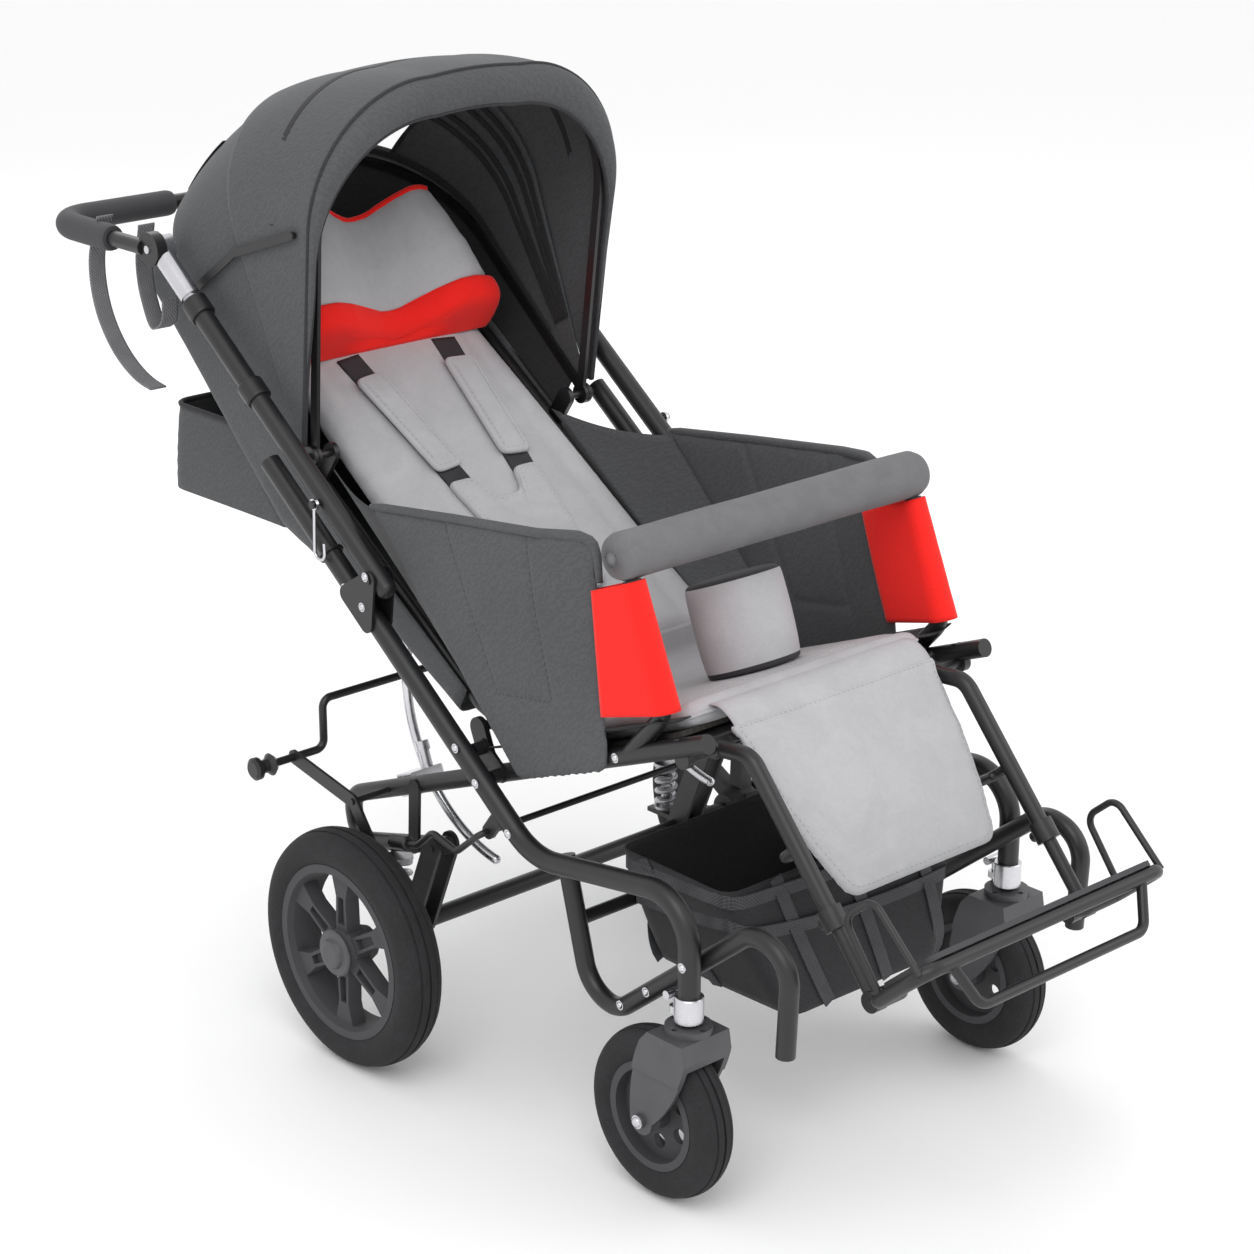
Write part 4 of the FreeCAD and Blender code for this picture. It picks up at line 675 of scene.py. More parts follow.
def floor_finish(name, colour):
    """Smooth pale floor with hardly seen clouds."""
    f = Finish(name)
    cloud = f.noise(900, 3, 0.5)
    f.done(colour, cloud, 0.985, 1.0, roughness=0.75 + cloud * 0.1, specular_ior_level=0.1)


def linear(*channels):
    """A screen colour from 0 to 255 as light."""
    return tuple((c / 255 / 12.92) if c < 10.3 else ((c / 255 + 0.055) / 1.055) ** 2.4 for c in channels)


class StrollerColours(bpy.types.PropertyGroup):
    """Colours of the cloths, foams and finishes"""

    def colour(name, description, *channels):
        return bpy.props.FloatVectorProperty(
            name=name, description=description, subtype="COLOR", size=3, min=0.0, max=1.0, default=linear(*channels))

    shell: colour("Shell cloth", "Outer cloth of the hood, the sides and the back", 80, 81, 83)
    lining: colour("Lining", "Cloth inside the hood and the basket", 46, 46, 48)
    suede: colour("Suede", "Seat, back and leg cushions", 176, 176, 179)
    accent: colour("Accent", "Side wedges and headrest roll", 244, 36, 30)
    tape: colour("Tape", "Webbing of the harness and straps", 52, 52, 55)
    band: colour("Basket tape", "Bands round the basket", 66, 66, 69)
    strap: colour("Pull strap", "Webbing that hangs from the handle", 120, 120, 123)
    foam: colour("Bar foam", "Foam on the front bar", 108, 108, 110)
    grip: colour("Grip foam", "Foam on the push handle", 34, 34, 36)
    coat: colour("Frame coat", "Coat on the tubes", 23, 23, 25)
    plate: colour("Plating", "Chrome and steel", 214, 214, 218)
    plastic: colour("Plastic", "Rims and small mouldings", 25, 25, 26)
    housing: colour("Housing", "Caster forks and wheel caps", 72, 72, 75)
    rubber: colour("Rubber", "Tyres", 34, 34, 36)
    board: colour("Seat board", "Board under the seat", 44, 40, 36)
    thread: colour("Thread", "Stitching on the light cushions", 150, 148, 146)
    floor: colour("Floor", "Ground under the stroller", 250, 250, 250)


class StrollerSizes(bpy.types.PropertyGroup):
    """Sizes of the soft pieces and the light"""

    def length(name, description, default):
        return bpy.props.FloatProperty(
            name=name, description=description, subtype="DISTANCE", unit="LENGTH", min=0.0, default=default)

    cloth: length("Cloth", "Thickness of the shell cloth", 0.0016)
    piping: length("Piping", "Radius of the piping cord", 0.0035)
    webbing: length("Webbing", "Width of the harness webbing", 0.038)
    bumper: length("Front bar", "Radius of the front bar's foam", 0.027)
    grip: length("Grip", "Radius of the push handle's foam", 0.017)
    swell: length("Swell", "How far a cushion may swell", 0.005)
    stitch: length("Stitch", "Length of one stitch", 0.005)
    lens: bpy.props.FloatProperty(
        name="Lens", description="Focal length of the camera", unit="CAMERA", default=86.16)
    daylight: bpy.props.FloatProperty(
        name="Daylight", description="Strength of the light from all round", min=0.0, default=1.0)


# What piece takes after a form: finish, body and slot
SUEDE_SEAT = ("suede_light", "chassis", "cloth_light")
SUEDE_BACK = ("suede_light", "backrest", "cloth_light")
SUEDE_LOOSE = ("suede_light", None, "cloth_light")
SHELL_BACK = ("shell_cloth", "backrest", "cloth_dark")
SHELL_HOOD = ("shell_cloth", "hood", "cloth_dark")
SHELL_SIDE = ("shell_cloth", "chassis", "cloth_dark")


class STROLLER_OT_finishes(bpy.types.Operator):
    """Make the finishes and put them on the frame's own pieces"""
    bl_idname = "stroller.finishes"
    bl_label = "Finishes"

    def execute(self, context):
        c = context.scene.stroller_colours
        crinkle_finish("shell_cloth", c.shell)
        crinkle_finish("lining_cloth", c.lining, 0.35)
        suede_finish("suede_light", c.suede)
        suede_finish("suede_red", c.accent, 0.05, 0.25)
        crinkle_finish("red_cloth", c.accent, 0.2, 0.04)
        webbing_finish("tape_dark", c.tape)
        webbing_finish("tape_grey", c.band)
        webbing_finish("tape_light", c.strap)
        crinkle_finish("trim_dark", c.tape, 0.3)
        foam_finish("bar_foam", c.foam)
        foam_finish("grip_foam", c.grip, 1.2)
        coated_finish("frame_coat", c.coat)
        plated_finish("plating", c.plate)
        plated_finish("spring_wire", shade(c.plate, 0.7), 0.28)
        moulded_finish("black_plastic", c.plastic)
        moulded_finish("housing_plastic", c.housing, 0.42)
        rubber_finish("tyre_rubber", c.rubber)
        board_finish("seat_board", c.board)
        suede_finish("thread_grey", c.thread, 0.2)
        suede_finish("thread_dark", c.tape, 0.2)
        floor_finish("pale_floor", c.floor)
        by_slot = {
            "frame_black": "frame_coat", "chrome": "plating", "spring_steel": "spring_wire",
            "black_plastic": "black_plastic", "dark_plastic": "housing_plastic", "tyre": "tyre_rubber",
            "grip_foam": "grip_foam", "foam_grey": "bar_foam", "cloth_dark": "shell_cloth",
            "cloth_black": "lining_cloth", "cloth_light": "suede_light", "cloth_red": "red_cloth",
            "board": "seat_board"}
        for part in frame["record"]["subparts"]:
            node = frame["nodes"][part["node"]]
            node.data.materials.clear()
            node.data.materials.append(bpy.data.materials[by_slot[part["material_slot"]]])
        return {"FINISHED"}


class STROLLER_OT_stage(bpy.types.Operator):
    """Lay the floor and set the lights and the camera"""
    bl_idname = "stroller.stage"
    bl_label = "Stage"

    def execute(self, context):
        scene = context.scene
        sizes = scene.stroller_sizes
        rings = [np.insert(ring(radius, 48), 2, -0.5, axis=1) for radius in (60, 3000, 9000, 40000)]
        piece("floor", loft(rings, (True, False)), "pale_floor")
        world = scene.world or bpy.data.worlds.new("studio")
        scene.world = world
        world.use_nodes = True
        sky = world.node_tree.nodes["Background"].inputs
        sky["Color"].default_value = (1, 1, 1, 1)
        sky["Strength"].default_value = sizes.daylight
        for name, spot, aim, power, wide in (
                ("key", (-2.4, -2.0, 3.8), (0, 0, 0.5), 62, 3.0),
                ("fill", (2.8, -2.6, 2.6), (0, 0, 0.5), 22, 2.6),
                ("rim", (1.2, 3.2, 3.2), (0, 0.2, 0.6), 30, 2.4)):
            light = bpy.data.lights.new(name, "AREA")
            light.energy = power
            light.size = wide
            lamp = bpy.data.objects.new(name, light)
            lamp.location = spot
            lamp.rotation_euler = (Vector(aim) - Vector(spot)).to_track_quat("-Z", "Y").to_euler()
            scene.collection.objects.link(lamp)
        lens = bpy.data.cameras.new("camera")
        lens.lens = sizes.lens
        lens.sensor_width = 36
        lens.clip_start = 0.05
        lens.clip_end = 200
        camera = bpy.data.objects.new("camera", lens)
        stand = Matrix.Translation(beside(-2282.9, -2607.5, 1722.1) / 1000)
        yaw, pitch, roll = -42.68, 19.77, 0.24
        for degrees, axis in ((yaw, "Z"), (90 - pitch, "X"), (roll, "Z")):
            stand = stand @ Matrix.Rotation(math.radians(degrees), 4, axis)
        camera.matrix_world = stand
        scene.collection.objects.link(camera)
        scene.camera = camera
        scene.view_settings.view_transform = "Standard"
        return {"FINISHED"}


class STROLLER_OT_seat(bpy.types.Operator):
    """Upholster the seat and close the gap between it and the sides"""
    bl_idname = "stroller.seat"
    bl_label = "Seat cushion"

    def execute(self, context):
        edge = mirrored([(196, -332), (186, -18)], [34, 24], 120)
        cushion = piece("seat_pad", pad(edge, SEAT, -41, 22, 5, 11), *SUEDE_SEAT, ["seat_cushion"])
        puff(cushion, in_mm("swell") * 0.8)
        groove(cushion, [SEAT(np.linspace(-192, 192, 40), -296, -16)], 2.5, 9)
        groove(cushion, [SEAT(np.linspace(-70, 70, 20), -34, -13)], 7, 5)
        crumple(cushion, 1.0, 90)
        stitches("seat_stitches", cushion, [SEAT(np.linspace(-184, 184, 30), -290, -8)], "chassis")
        welt, _ = laid(cushion, SEAT(*edge.T, -30), 0.4)
        piece("seat_piping", loft(swept(np.vstack([welt, welt[:1]]), ring(2.2, 10))), *SUEDE_SEAT)
        t = np.linspace(0, 1, 8)[:, None]
        dip = SEAT.up * 3 * np.sin(t * math.pi)
        for side, word in SIDES:
            rows = [lerp(SEAT(side * 188, along, -27), SEAT(side * 234.5, along, -22), t) - dip
                    for along in np.linspace(-330, -22, 40)]
            cloth("seat_skirt_" + word, spread(rows), ("lining_cloth", "chassis", "cloth_black"), (0.8, 40, side), 1.4,
                  (0.31, 0.05), "stretched", [cushion.name])
        return {"FINISHED"}


class STROLLER_OT_back(bpy.types.Operator):
    """Upholster the backrest and hang the cloth behind it"""
    bl_idname = "stroller.back"
    bl_label = "Backrest"

    def execute(self, context):
        edge = mirrored([(178, 26), (152, 766)], [26, 70], 170)
        cushion = piece("back_cushion", pad(edge, BACK, 1, 27, 5, 13), *SUEDE_BACK, ["back_pad"])
        puff(cushion, in_mm("swell"), 6)
        seam = BACK(np.linspace(124, 112, 40), np.linspace(40, 750, 40), 32)
        groove(cushion, [seam, seam * (-1, 1, 1)], 3, 11)
        crumple(cushion, 1.2, 110, 1.0)
        route = [SEAT(0, -66, -27), SEAT(0, -50, -17), SEAT(0, -28, -11), SEAT(0, -12, -13),
                 BACK(0, 16, 2), BACK(0, 26, 14), BACK(0, 36, 26)]
        rows = [point + np.linspace(-182, 182, 30)[:, None] * ACROSS for point in through(route, 24)]
        cloth("hinge_cloth", spread(rows), SUEDE_LOOSE, (0.8, 60, 4.0), 1.4, (0.37, 0.14), "stretched",
              [cushion.name, "seat_pad"],
              ("chassis", "backrest", SEAT(0, -24, -13) / 1000, BACK(0, 26, 14) / 1000))
        # along the back: half width, depth and corner of the sling
        stations = np.array([(52, 204.6, 46, 12), (221.2, 206.6, 68, 20), (430.6, 206.6, 142, 50),
                             (616.2, 206.6, 92, 30), (790, 203.6, 48, 12)])
        rows = []
        for y in np.linspace(52, 790, 44):
            half, depth, roll = (np.interp(y, stations[:, 0], stations[:, k]) for k in (1, 2, 3))
            top, corner, flat = (half, 0), (half - roll * 0.35, -depth + roll), (half - roll - 12, -depth)
            bend = arc(corner, (half - roll * 0.38 - 6, -depth + roll * 0.32), flat, 8)
            floor = arc(flat, (0, -depth - 5), (-flat[0], -depth), 16)
            line = np.vstack([[top], bend, floor[1:], (bend[::-1] * (-1, 1))[1:], [(-half, 0)]])
            line = spaced(line, 60)
            rows.append(BACK(line[:, 0], y, line[:, 1]))
        line = spaced(line, 60)
        rows += [BACK(line[:, 0], 790, line[:, 1] * share) for share in (0.55, 0.12)]
        cloth("back_sling_cloth", spread(rows), (*SHELL_BACK, ["back_sling"]), (1.6, 80, 2.0), in_mm("cloth"),
              (0.64, 0.80), "stretched", ["back_frame"])
        return {"FINISHED"}


class STROLLER_OT_headrest(bpy.types.Operator):
    """Make the contoured headrest"""
    bl_idname = "stroller.headrest"
    bl_label = "Headrest"

    def execute(self, context):
        x = np.linspace(-1, 1, 49)
        wave = np.interp(np.abs(x), (0, 0.14, 0.3, 0.46, 0.62, 0.78, 0.92, 1), (-24, -21, -9, 5, 13, 14, 8, -2))

        def section(y, deep, lift, half):
            foot = BACK_FACE + lift
            return np.vstack([BACK(x * half, y, foot + deep + wave), BACK(x[::-1] * half, y, foot)])

        rows = [section(*station) for station in (
            (543, 24, 2, 150), (546, 32, 0, 152), (558, 42, 0, 154), (580, 60, 1, 153), (618, 78, 4, 143),
            (660, 89, 9, 130), (686, 92, 14, 121), (692, 90, 16, 119), (694, 86, 18, 117))]
        rest = piece("head_pillow", loft(rows), "suede_light", "head_support", "cloth_light", ["headrest"])
        puff(rest, 3, 4.5)
        rows = [section(y, deep, 0, half) for y, deep, half in (
            (540.5, 26, 150), (541, 40, 157), (545, 49, 162), (553, 55, 163.5), (561, 59, 163), (568, 61, 161),
            (571, 59, 159))]
        red = ("suede_red", "head_support", "cloth_red")
        roll = piece("headrest_roll", loft(rows), *red)
        subdivide(roll)
        welt, _ = laid(rest, BACK(x * 116, 691, BACK_FACE + 16 + 90 + wave), 0.5)
        piping = ring(in_mm("piping"), 10)
        piece("headrest_piping", loft(swept(through(welt[1:-1:3], 90), piping)), *red)
        return {"FINISHED"}


class STROLLER_OT_harness(bpy.types.Operator):
    """Sew the shoulder straps, their pads and the yoke"""
    bl_idname = "stroller.harness"
    bl_label = "Harness"

    def execute(self, context):
        width = in_mm("webbing")
        for side, word in SIDES:
            lean = math.radians(6.5) * side

            def put(u, w, height, side=side, lean=lean):
                x = side * 49 + u * math.cos(lean) + w * math.sin(lean)
                y = 296 - u * math.sin(lean) + w * math.cos(lean)
                return BACK(x, y, BACK_FACE + height)

            along = np.linspace(0, 242, 40)
            line = put(0, along, 1.6 + 1.2 * np.sin(along / 40))
            strap = piece("shoulder_strap_" + word[0], loft(swept(line, strip(width, 2.2), ACROSS)), "tape_dark",
                          "backrest", "cloth_light")
            sheet((width / 1000, 0.245), "laid", ["back_cushion"])
            edge = mirrored([(23, 36), (24, 204)], [12, 12], 80)
            cushion = piece("shoulder_pad_" + word[0], pad(edge, put, 3.4, 8, 3, 6), *SUEDE_BACK)
            subdivide(cushion)
            crumple(cushion, 0.8, 50, side)
            inner = mirrored([(17, 43), (18, 197)], [9, 9], 120)
            groove(cushion, [put(*inner.T, 13)], 1.6, 2.5)
            stitches("shoulder_pad_thread_" + word[0], cushion, [put(*inner.T, 16)], "backrest")
        edge = mirrored([(46, 112), (72, 314), (32, 314), (21, 276)], [24, 10, 10, 15], 130)
        yoke = piece("harness_yoke", pad(edge, BACK, BACK_FACE, 9, 1.5, 4), *SUEDE_BACK, ["harness"])
        subdivide(yoke)
        inner = mirrored([(40, 118), (65, 308), (38, 308), (27, 269)], [20, 7, 7, 17], 150)
        stitches("harness_yoke_thread", yoke, [BACK(*inner.T, BACK_FACE + 14)], "backrest")
        return {"FINISHED"}


def hood_arch(half, top, count):
    """The hood's arch from one foot over the top to the other, as (x, reach)."""
    base, fall = 16.0, 176.0
    shoulder = top - fall
    rise = shoulder + fall * math.sqrt(0.5)
    bend = half - fall * (1 - math.sqrt(0.5)) + 4
    inner = half - 170
    corner = arc((half, shoulder), (bend, rise), (inner, top - 4), 24)
    crown = arc((inner, top - 4), (0, top), (-inner, top - 4), 12)
    side = np.vstack([[(half - 6, base)], corner])
    return spaced(np.vstack([side, crown[1:], (side[::-1] * (-1, 1))[1:]]), count)


class STROLLER_OT_hood(bpy.types.Operator):
    """Stretch the hood over its bows, with its visor, sleeves and vent"""
    bl_idname = "stroller.hood"
    bl_label = "Hood"

    def execute(self, context):
        thick = in_mm("cloth")
        for name, look, node, arch, start, end in (
                ("hood_front_cloth", SHELL_HOOD, "hood_front", FRONT_ARCH, 66, 97),
                ("hood_rear_cloth", SHELL_BACK, "hood_rear", REAR_ARCH, 38.5, 68)):
            line = hood_arch(*arch, 120)
            points, faces = spread([round_hood(*line.T, angle) for angle in np.linspace(start, end, 26)])
            if node == "hood_rear":
                middle = np.array([points[list(face)].mean(0) for face in faces])
                angle = hood_angle(middle)
                vent = (np.abs(middle[:, 0]) < VENT_HALF) & (angle > 42.4) & (angle < 53.6)
                faces = [face for face, open_here in zip(faces, vent) if not open_here]
            skin = piece(name, (points, faces), *look, [node])
            points = places(skin.data) * 1000
            facing = normals(skin.data)
            reach = np.linalg.norm(points[:, 1:] - HOOD[1:], axis=1)
            slack = np.sin(np.clip((hood_angle(points) - start) / (end - start), 0, 1) * math.pi)
            dip = slack * 2.2 * np.clip(reach / 300, 0, 1)
            dip *= np.sign(np.sum(facing * (points - (0, HOOD[1], HOOD[2])), 1))
            set_places(skin.data, (points - facing * dip[:, None]) / 1000)
            crumple(skin, 1.2, 70, 3.0 + start)
            thicken(skin, thick)
            sheet((1.14, 0.26), "stretched", ["back_frame", "hood_bow"])
        half, top = FRONT_ARCH
        outer = hood_arch(half, top, 120)
        taper = 0.3 + 0.7 * smooth((outer[:, 1] - 60) / 180)
        rows = []
        for share, lead in ((0.0, 0.0), (0.06, 0.8), (0.2, 1.6), (0.45, 2.0), (0.72, 1.8), (0.92, 1.3), (1.0, 0.8)):
            inner = hood_arch(half - 9 * share, top - 46 * share, 120)
            line = outer + (inner - outer) * taper[:, None]
            rows.append(round_hood(*line.T, VISOR_ANGLE + lead * taper))
        cloth("hood_visor", spread(rows), SHELL_HOOD, (0.8, 60, 5.5), thick, (1.14, 0.05), "stretched",
              ["hood_front_cloth"])
        for name, line in (("hood_visor_hem", rows[-1]), ("hood_front_seam", rows[0])):
            piece(name, loft(swept(line, ring(in_mm("piping") * 0.7, 8))), "trim_dark", "hood", "cloth_dark")
        sleeve_foot = 95
        for name, angle, wide in (
                ("hood_sleeve_front", 82, 12), ("hood_sleeve_split", 65.6, 9), ("hood_sleeve_split_low", 62.4, 9),
                ("hood_sleeve_rear", 57.6, 10), ("hood_vent_hem", 54.6, 10), ("hood_rear_hem", 41.2, 12)):
            body, (half, top), under, deep = ("backrest", REAR_ARCH, 2.6, 2.0)
            if name == "hood_sleeve_front":
                body, (half, top), under, deep = ("hood", FRONT_ARCH, 1.0, 1.2)
            line = hood_arch(half - thick - under, top - thick - under, 140)
            line = line[line[:, 1] > sleeve_foot]
            spots = round_hood(*line.T, angle)
            way = (0, -math.sin(math.radians(angle)), math.cos(math.radians(angle)))
            piece(name, loft(swept(spots, strip(wide, deep), way)), "lining_cloth", body, "cloth_dark")
        arch = hood_arch(231, 445, 90)[1:-1]
        head = round_hood(*arch.T, 38.9)
        foot = head * (0.9, 1, 1)
        foot[:, 2] = BACK.origin[2] + (foot[:, 1] - BACK.origin[1]) * BACK.along[2] / BACK.along[1] - 3
        rows = [lerp(head, foot, t) + (0, 5 * math.sin(t * math.pi), 0) for t in np.linspace(0, 1, 12)]
        cloth("hood_curtain", spread(rows), ("lining_cloth", "backrest", "cloth_dark"), (1.0, 50, 6.5), thick,
              (1.14, 0.14), "hung", ["back_frame", "hood_rear_cloth"])
        straps = []
        arch = hood_arch(*(size - thick - 0.6 for size in REAR_ARCH), 400)[::-1]
        for x in (-VENT_HALF, -52, 52, VENT_HALF):
            line = round_hood(x, np.interp(x, arch[:, 0], arch[:, 1]), np.linspace(40.6, 55.4, 16))
            straps.append(loft(swept(line, strip(14, 1.4), ACROSS)))
        piece("hood_vent_straps", joined(straps), "tape_dark", "backrest", "cloth_dark")
        return {"FINISHED"}


def wall_lead(z):
    """How far back a side wall's front edge lies."""
    return np.interp(z, (458, 722), (-362, -324))


def wall_curl(z, behind):
    """How far a side wall curls in to the armrest, by the distance behind its front edge."""
    return (1 - smooth(behind / 66)) * np.interp(z, (458, 560, 722), (1, 7, 17))


class STROLLER_OT_sides(bpy.types.Operator):
    """Hang the padded sides and the coloured wedges in front of them"""
    bl_idname = "stroller.sides"
    bl_label = "Sides"

    def execute(self, context):
        for side, word in SIDES:
            def put(y, z, out, side=side):
                y, z = np.asarray(y, float), np.asarray(z, float)
                return beside(side * (out - wall_curl(z, y - wall_lead(z))), y, z)

            edge = eased([(54, 671.5), (-323, 721), (-361.5, 458.5), (-210, 402)], [14, 22, 14, 18], 190)
            wall = piece("side_wall_" + word, pad(edge, put, WALL, 7.0, 2.4, 7), *SHELL_SIDE, ["side_panels"])
            puff(wall, 2.0, 4.5)
            ways = (((-84, -130, -180), (690, 600, 503)), ((-180, -274), (503, 519)),
                    ((-227, -246, -274), (708, 620, 519)))
            seams, inside = ([spaced(through(put(*way, out), 20), 24) for way in ways] for out in (244.0, 234.0))
            groove(wall, seams + inside, 2.6, 5)
            stitches("side_thread_" + word, wall, [line + side * ACROSS * 2 for line in seams], "chassis",
                     "thread_dark", "cloth_dark")
            brim = put((50, -100, -250, -300, -318, -326, -332), (670.5, 691, 709.5, 716, 713, 700, 670), 239.0)
            swell = np.interp(np.linspace(0, 1, 60), (0, 0.05, 0.7, 0.84, 1), (0.5, 0.9, 1.0, 1.15, 0.7))
            piece("side_hem_" + word, loft(swept(spaced(brim, 60), ring(5.6, 14), None, swell)), *SHELL_SIDE)
            rows = []
            for t in np.linspace(0, 1, 24):
                middle = lerp(683, 548, t)
                tube = ARM_Y + (middle - ARM_Z) * ARM_LEAN
                lead = wall_lead(middle) - 0.6
                reach = 12.4 + 3 * t
                overlap = lerp(27, 3, t)
                line = [(ARM + reach, lead), (ARM + reach, (lead + tube) / 2)]
                line += [(ARM + reach * math.cos(a), tube - reach * math.sin(a)) for a in np.linspace(0, math.pi, 15)]
                line += [(WALL - wall_curl(middle, 0) - 6, lead),
                         (WALL - wall_curl(middle, overlap) - 4.5, lead + overlap)]
                line = spaced(line, 40)
                rise = lerp(ARM_LEAN, 0.3, t)
                rows.append(beside(side * line[:, 0], line[:, 1], middle - (line[:, 1] - tube) * rise))
            wedge = piece("side_wedge_" + word, spread(rows), "red_cloth", "chassis", "cloth_red", ["side_gussets"])
            thicken(wedge, 2.0, False)
            sheet((0.23, 0.14), "stretched", [wall.name])
            t = np.linspace(0, 1, 30)[:, None]
            outer = lerp(beside(side * 238, 38, 666), beside(side * 238, -208, 418), t)
            inner = lerp(BACK(side * 180, 408, 12), BACK(side * 186, -18, 4), t)
            rows = [lerp(outer, inner, w) - (0, 0, 9 * math.sin(w * math.pi)) for w in np.linspace(0, 1, 16)]
            fixed = beside(side * 237, 60, 600)
            cloth("side_web_" + word, spread(rows), ("shell_cloth", None, "cloth_dark"), (1.2, 60, side),
                  in_mm("cloth"), (0.50, 0.19), "stretched", [wall.name, "back_cushion"],
                  ("chassis", "backrest", fixed / 1000, (fixed - side * 50 * ACROSS) / 1000))
        return {"FINISHED"}


class STROLLER_OT_bar(bpy.types.Operator):
    """Slip the foam on the front bar"""
    bl_idname = "stroller.bar"
    bl_label = "Front bar"

    def execute(self, context):
        low, high = (np.array(corner) * 1000 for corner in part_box("bumper_foam"))
        centre = (low + high) / 2
        x = np.concatenate([[low[0]], np.linspace(low[0], high[0], 64), [high[0]]])
        out = np.minimum(1, (np.minimum(x - low[0], high[0] - x) + 0.2) / 15)
        size = np.sqrt(1 - (1 - out) ** 2) * (1 + 0.006 * np.sin(x / 23))
        size[0] = size[-1] = 0.35
        section = ring(in_mm("bumper"), 40)
        rings = [stacked(at, centre[1] + section[:, 0] * s, centre[2] + section[:, 1] * s) for at, s in zip(x, size)]
        foam = piece("front_bar_foam", loft(rings), "bar_foam", "front_bar", "foam_grey", ["bumper_foam"])
        crumple(foam, 0.8, 60, 5.0)
        return {"FINISHED"}


class STROLLER_OT_pommel(bpy.types.Operator):
    """Make the pommel between the knees"""
    bl_idname = "stroller.pommel"
    bl_label = "Pommel"

    def execute(self, context):
        circle = ring(1, 56)
        rings = [SEAT(circle[:, 0] * wide, -240 + circle[:, 1] * deep, up - 15) for up, wide, deep in (
            (4.9, 58, 41), (6, 61, 43), (9, 62.5, 44.5), (30, 64.5, 46.5), (60, 65.5, 47.5), (92, 65, 47),
            (106, 64.4, 46.4), (111, 63.4, 45.4), (114.5, 60, 42.5), (116, 52, 36), (117, 30, 20))]
        block = piece("pommel_pad", loft(rings), "suede_light", "abductor", "cloth_light", ["pommel"])
        block.data.materials.append(bpy.data.materials["trim_dark"])
        for polygon in block.data.polygons:
            up = (np.array(polygon.center) * 1000 - SEAT.origin) @ SEAT.up
            polygon.material_index = int(up > 96 or up < 2)
        subdivide(block)
        return {"FINISHED"}


class STROLLER_OT_legs(bpy.types.Operator):
    """Hang the calf flap and the cloth that leads to it from the seat"""
    bl_idname = "stroller.legs"
    bl_label = "Leg rest"

    def execute(self, context):
        side = np.array([(119, -181), (139, -120), (153, -54), (158, 0), (160, 28), (166, 46)], float)
        outline = np.vstack([side * (-1, 1), side[::-1]])
        edge = eased(outline[::-1], [18, 14, 14, 14, 4, 8, 8, 4, 14, 14, 14, 18], 150)
        flap = piece("leg_cushion", pad(edge, LEG, -25.4, 9, 2.5, 5), "suede_light", "legrest", "cloth_light",
                     ["leg_pad"])
        puff(flap, 2, 4)
        crumple(flap, 1.0, 80, 7.0)
        hem = edge * (0.945, 1)
        hem[:, 1] = -67 + (hem[:, 1] + 67) * 0.94
        stitches("leg_thread", flap, [LEG(*hem.T, -8)], "legrest")
        route = [SEAT(0, -310, -26), SEAT(0, -326, -22), SEAT(0, -338, -24), LEG(0, 50, -18), LEG(0, 34, -17)]
        rows = [point + np.linspace(-157, 157, 30)[:, None] * ACROSS for point in through(route, 22)]
        cloth("knee_cloth", spread(rows), SUEDE_LOOSE, (0.8, 60, 6.0), 1.4, (0.32, 0.09), "stretched",
              ["seat_pad", flap.name], ("chassis", "legrest", SEAT(0, -330, -22) / 1000, LEG(0, 46, -18) / 1000))
        return {"FINISHED"}


class STROLLER_OT_basket(bpy.types.Operator):
    """Hang the basket under the seat"""
    bl_idname = "stroller.basket"
    bl_label = "Basket"

    def execute(self, context):
        rings = []
        for t in np.linspace(0, 1, 16):
            half, front, rear = 124 + 62 * t, -539 + 44 * t, -315.3
            outline = mirrored([(half, front), (half, rear)], [24, 24], 96)
            outline[:, 0] *= 1 + 4 * math.sin(t * math.pi) / half
            rings.append(beside(*outline.T, 188 + 154 * t))
        bag = piece("basket_bag", bag_form(rings, (0.1, 0.35, 0.6, 0.85)), "lining_cloth", "chassis", "cloth_black",
                    ["basket"])
        crumple(bag, 1.6, 60, 8.0)
        bands = []
        turn = np.linspace(0, 2 * math.pi, 96, endpoint=False)
        for level, droop in ((14, 10), (11, 30)):
            line = rings[level].copy()
            line[:, 2] -= droop * np.abs(np.sin(turn)) ** 0.7
            spots, _ = laid(bag, line, 1.4)
            bands.append(loft(swept(np.vstack([spots, spots[:2]]), strip(17, 1.6), UPRIGHT), (False, False)))
        for column in (8, 18, 28, 66, 76, 86):
            spots, _ = laid(bag, spaced([level[column] for level in rings], 20), 1.8)
            way = rings[8][column + 1] - rings[8][column - 1]
            bands.append(loft(swept(spots, strip(19, 1.6), way)))
        thicken(bag, 1.8)
        sheet((0.62, 0.56), "hung", ["cross_tubes"])
        piece("basket_tapes", joined(bands), "tape_grey", "chassis", "cloth_black")
        return {"FINISHED"}


class STROLLER_OT_pocket(bpy.types.Operator):
    """Hang the pocket behind the backrest"""
    bl_idname = "stroller.pocket"
    bl_label = "Back pocket"

    def execute(self, context):
        rings = []
        for t in np.linspace(0, 1, 14):
            rise = 114 * t
            half, front, rear = 166 - 3 * t**2, 314 + rise * 129 / 141 + 3, 572 - 10 * t**2
            outline = mirrored([(half, front), (half, rear)], [8, 26], 100)
            rings.append(beside(*outline.T, 562 + rise))
        cloth("back_pouch", bag_form(rings, (0.1, 0.4, 0.75)), (*SHELL_BACK, ["pocket"]), (1.6, 70, 9.0), 1.6,
              (0.55, 0.50), "hung", ["back_sling_cloth"])
        rim = np.vstack([rings[-1], rings[-1][:2]])
        piece("back_pouch_rim", loft(swept(rim, ring(3.4, 10)), (False, False)), "trim_dark", "backrest", "cloth_dark")
        return {"FINISHED"}


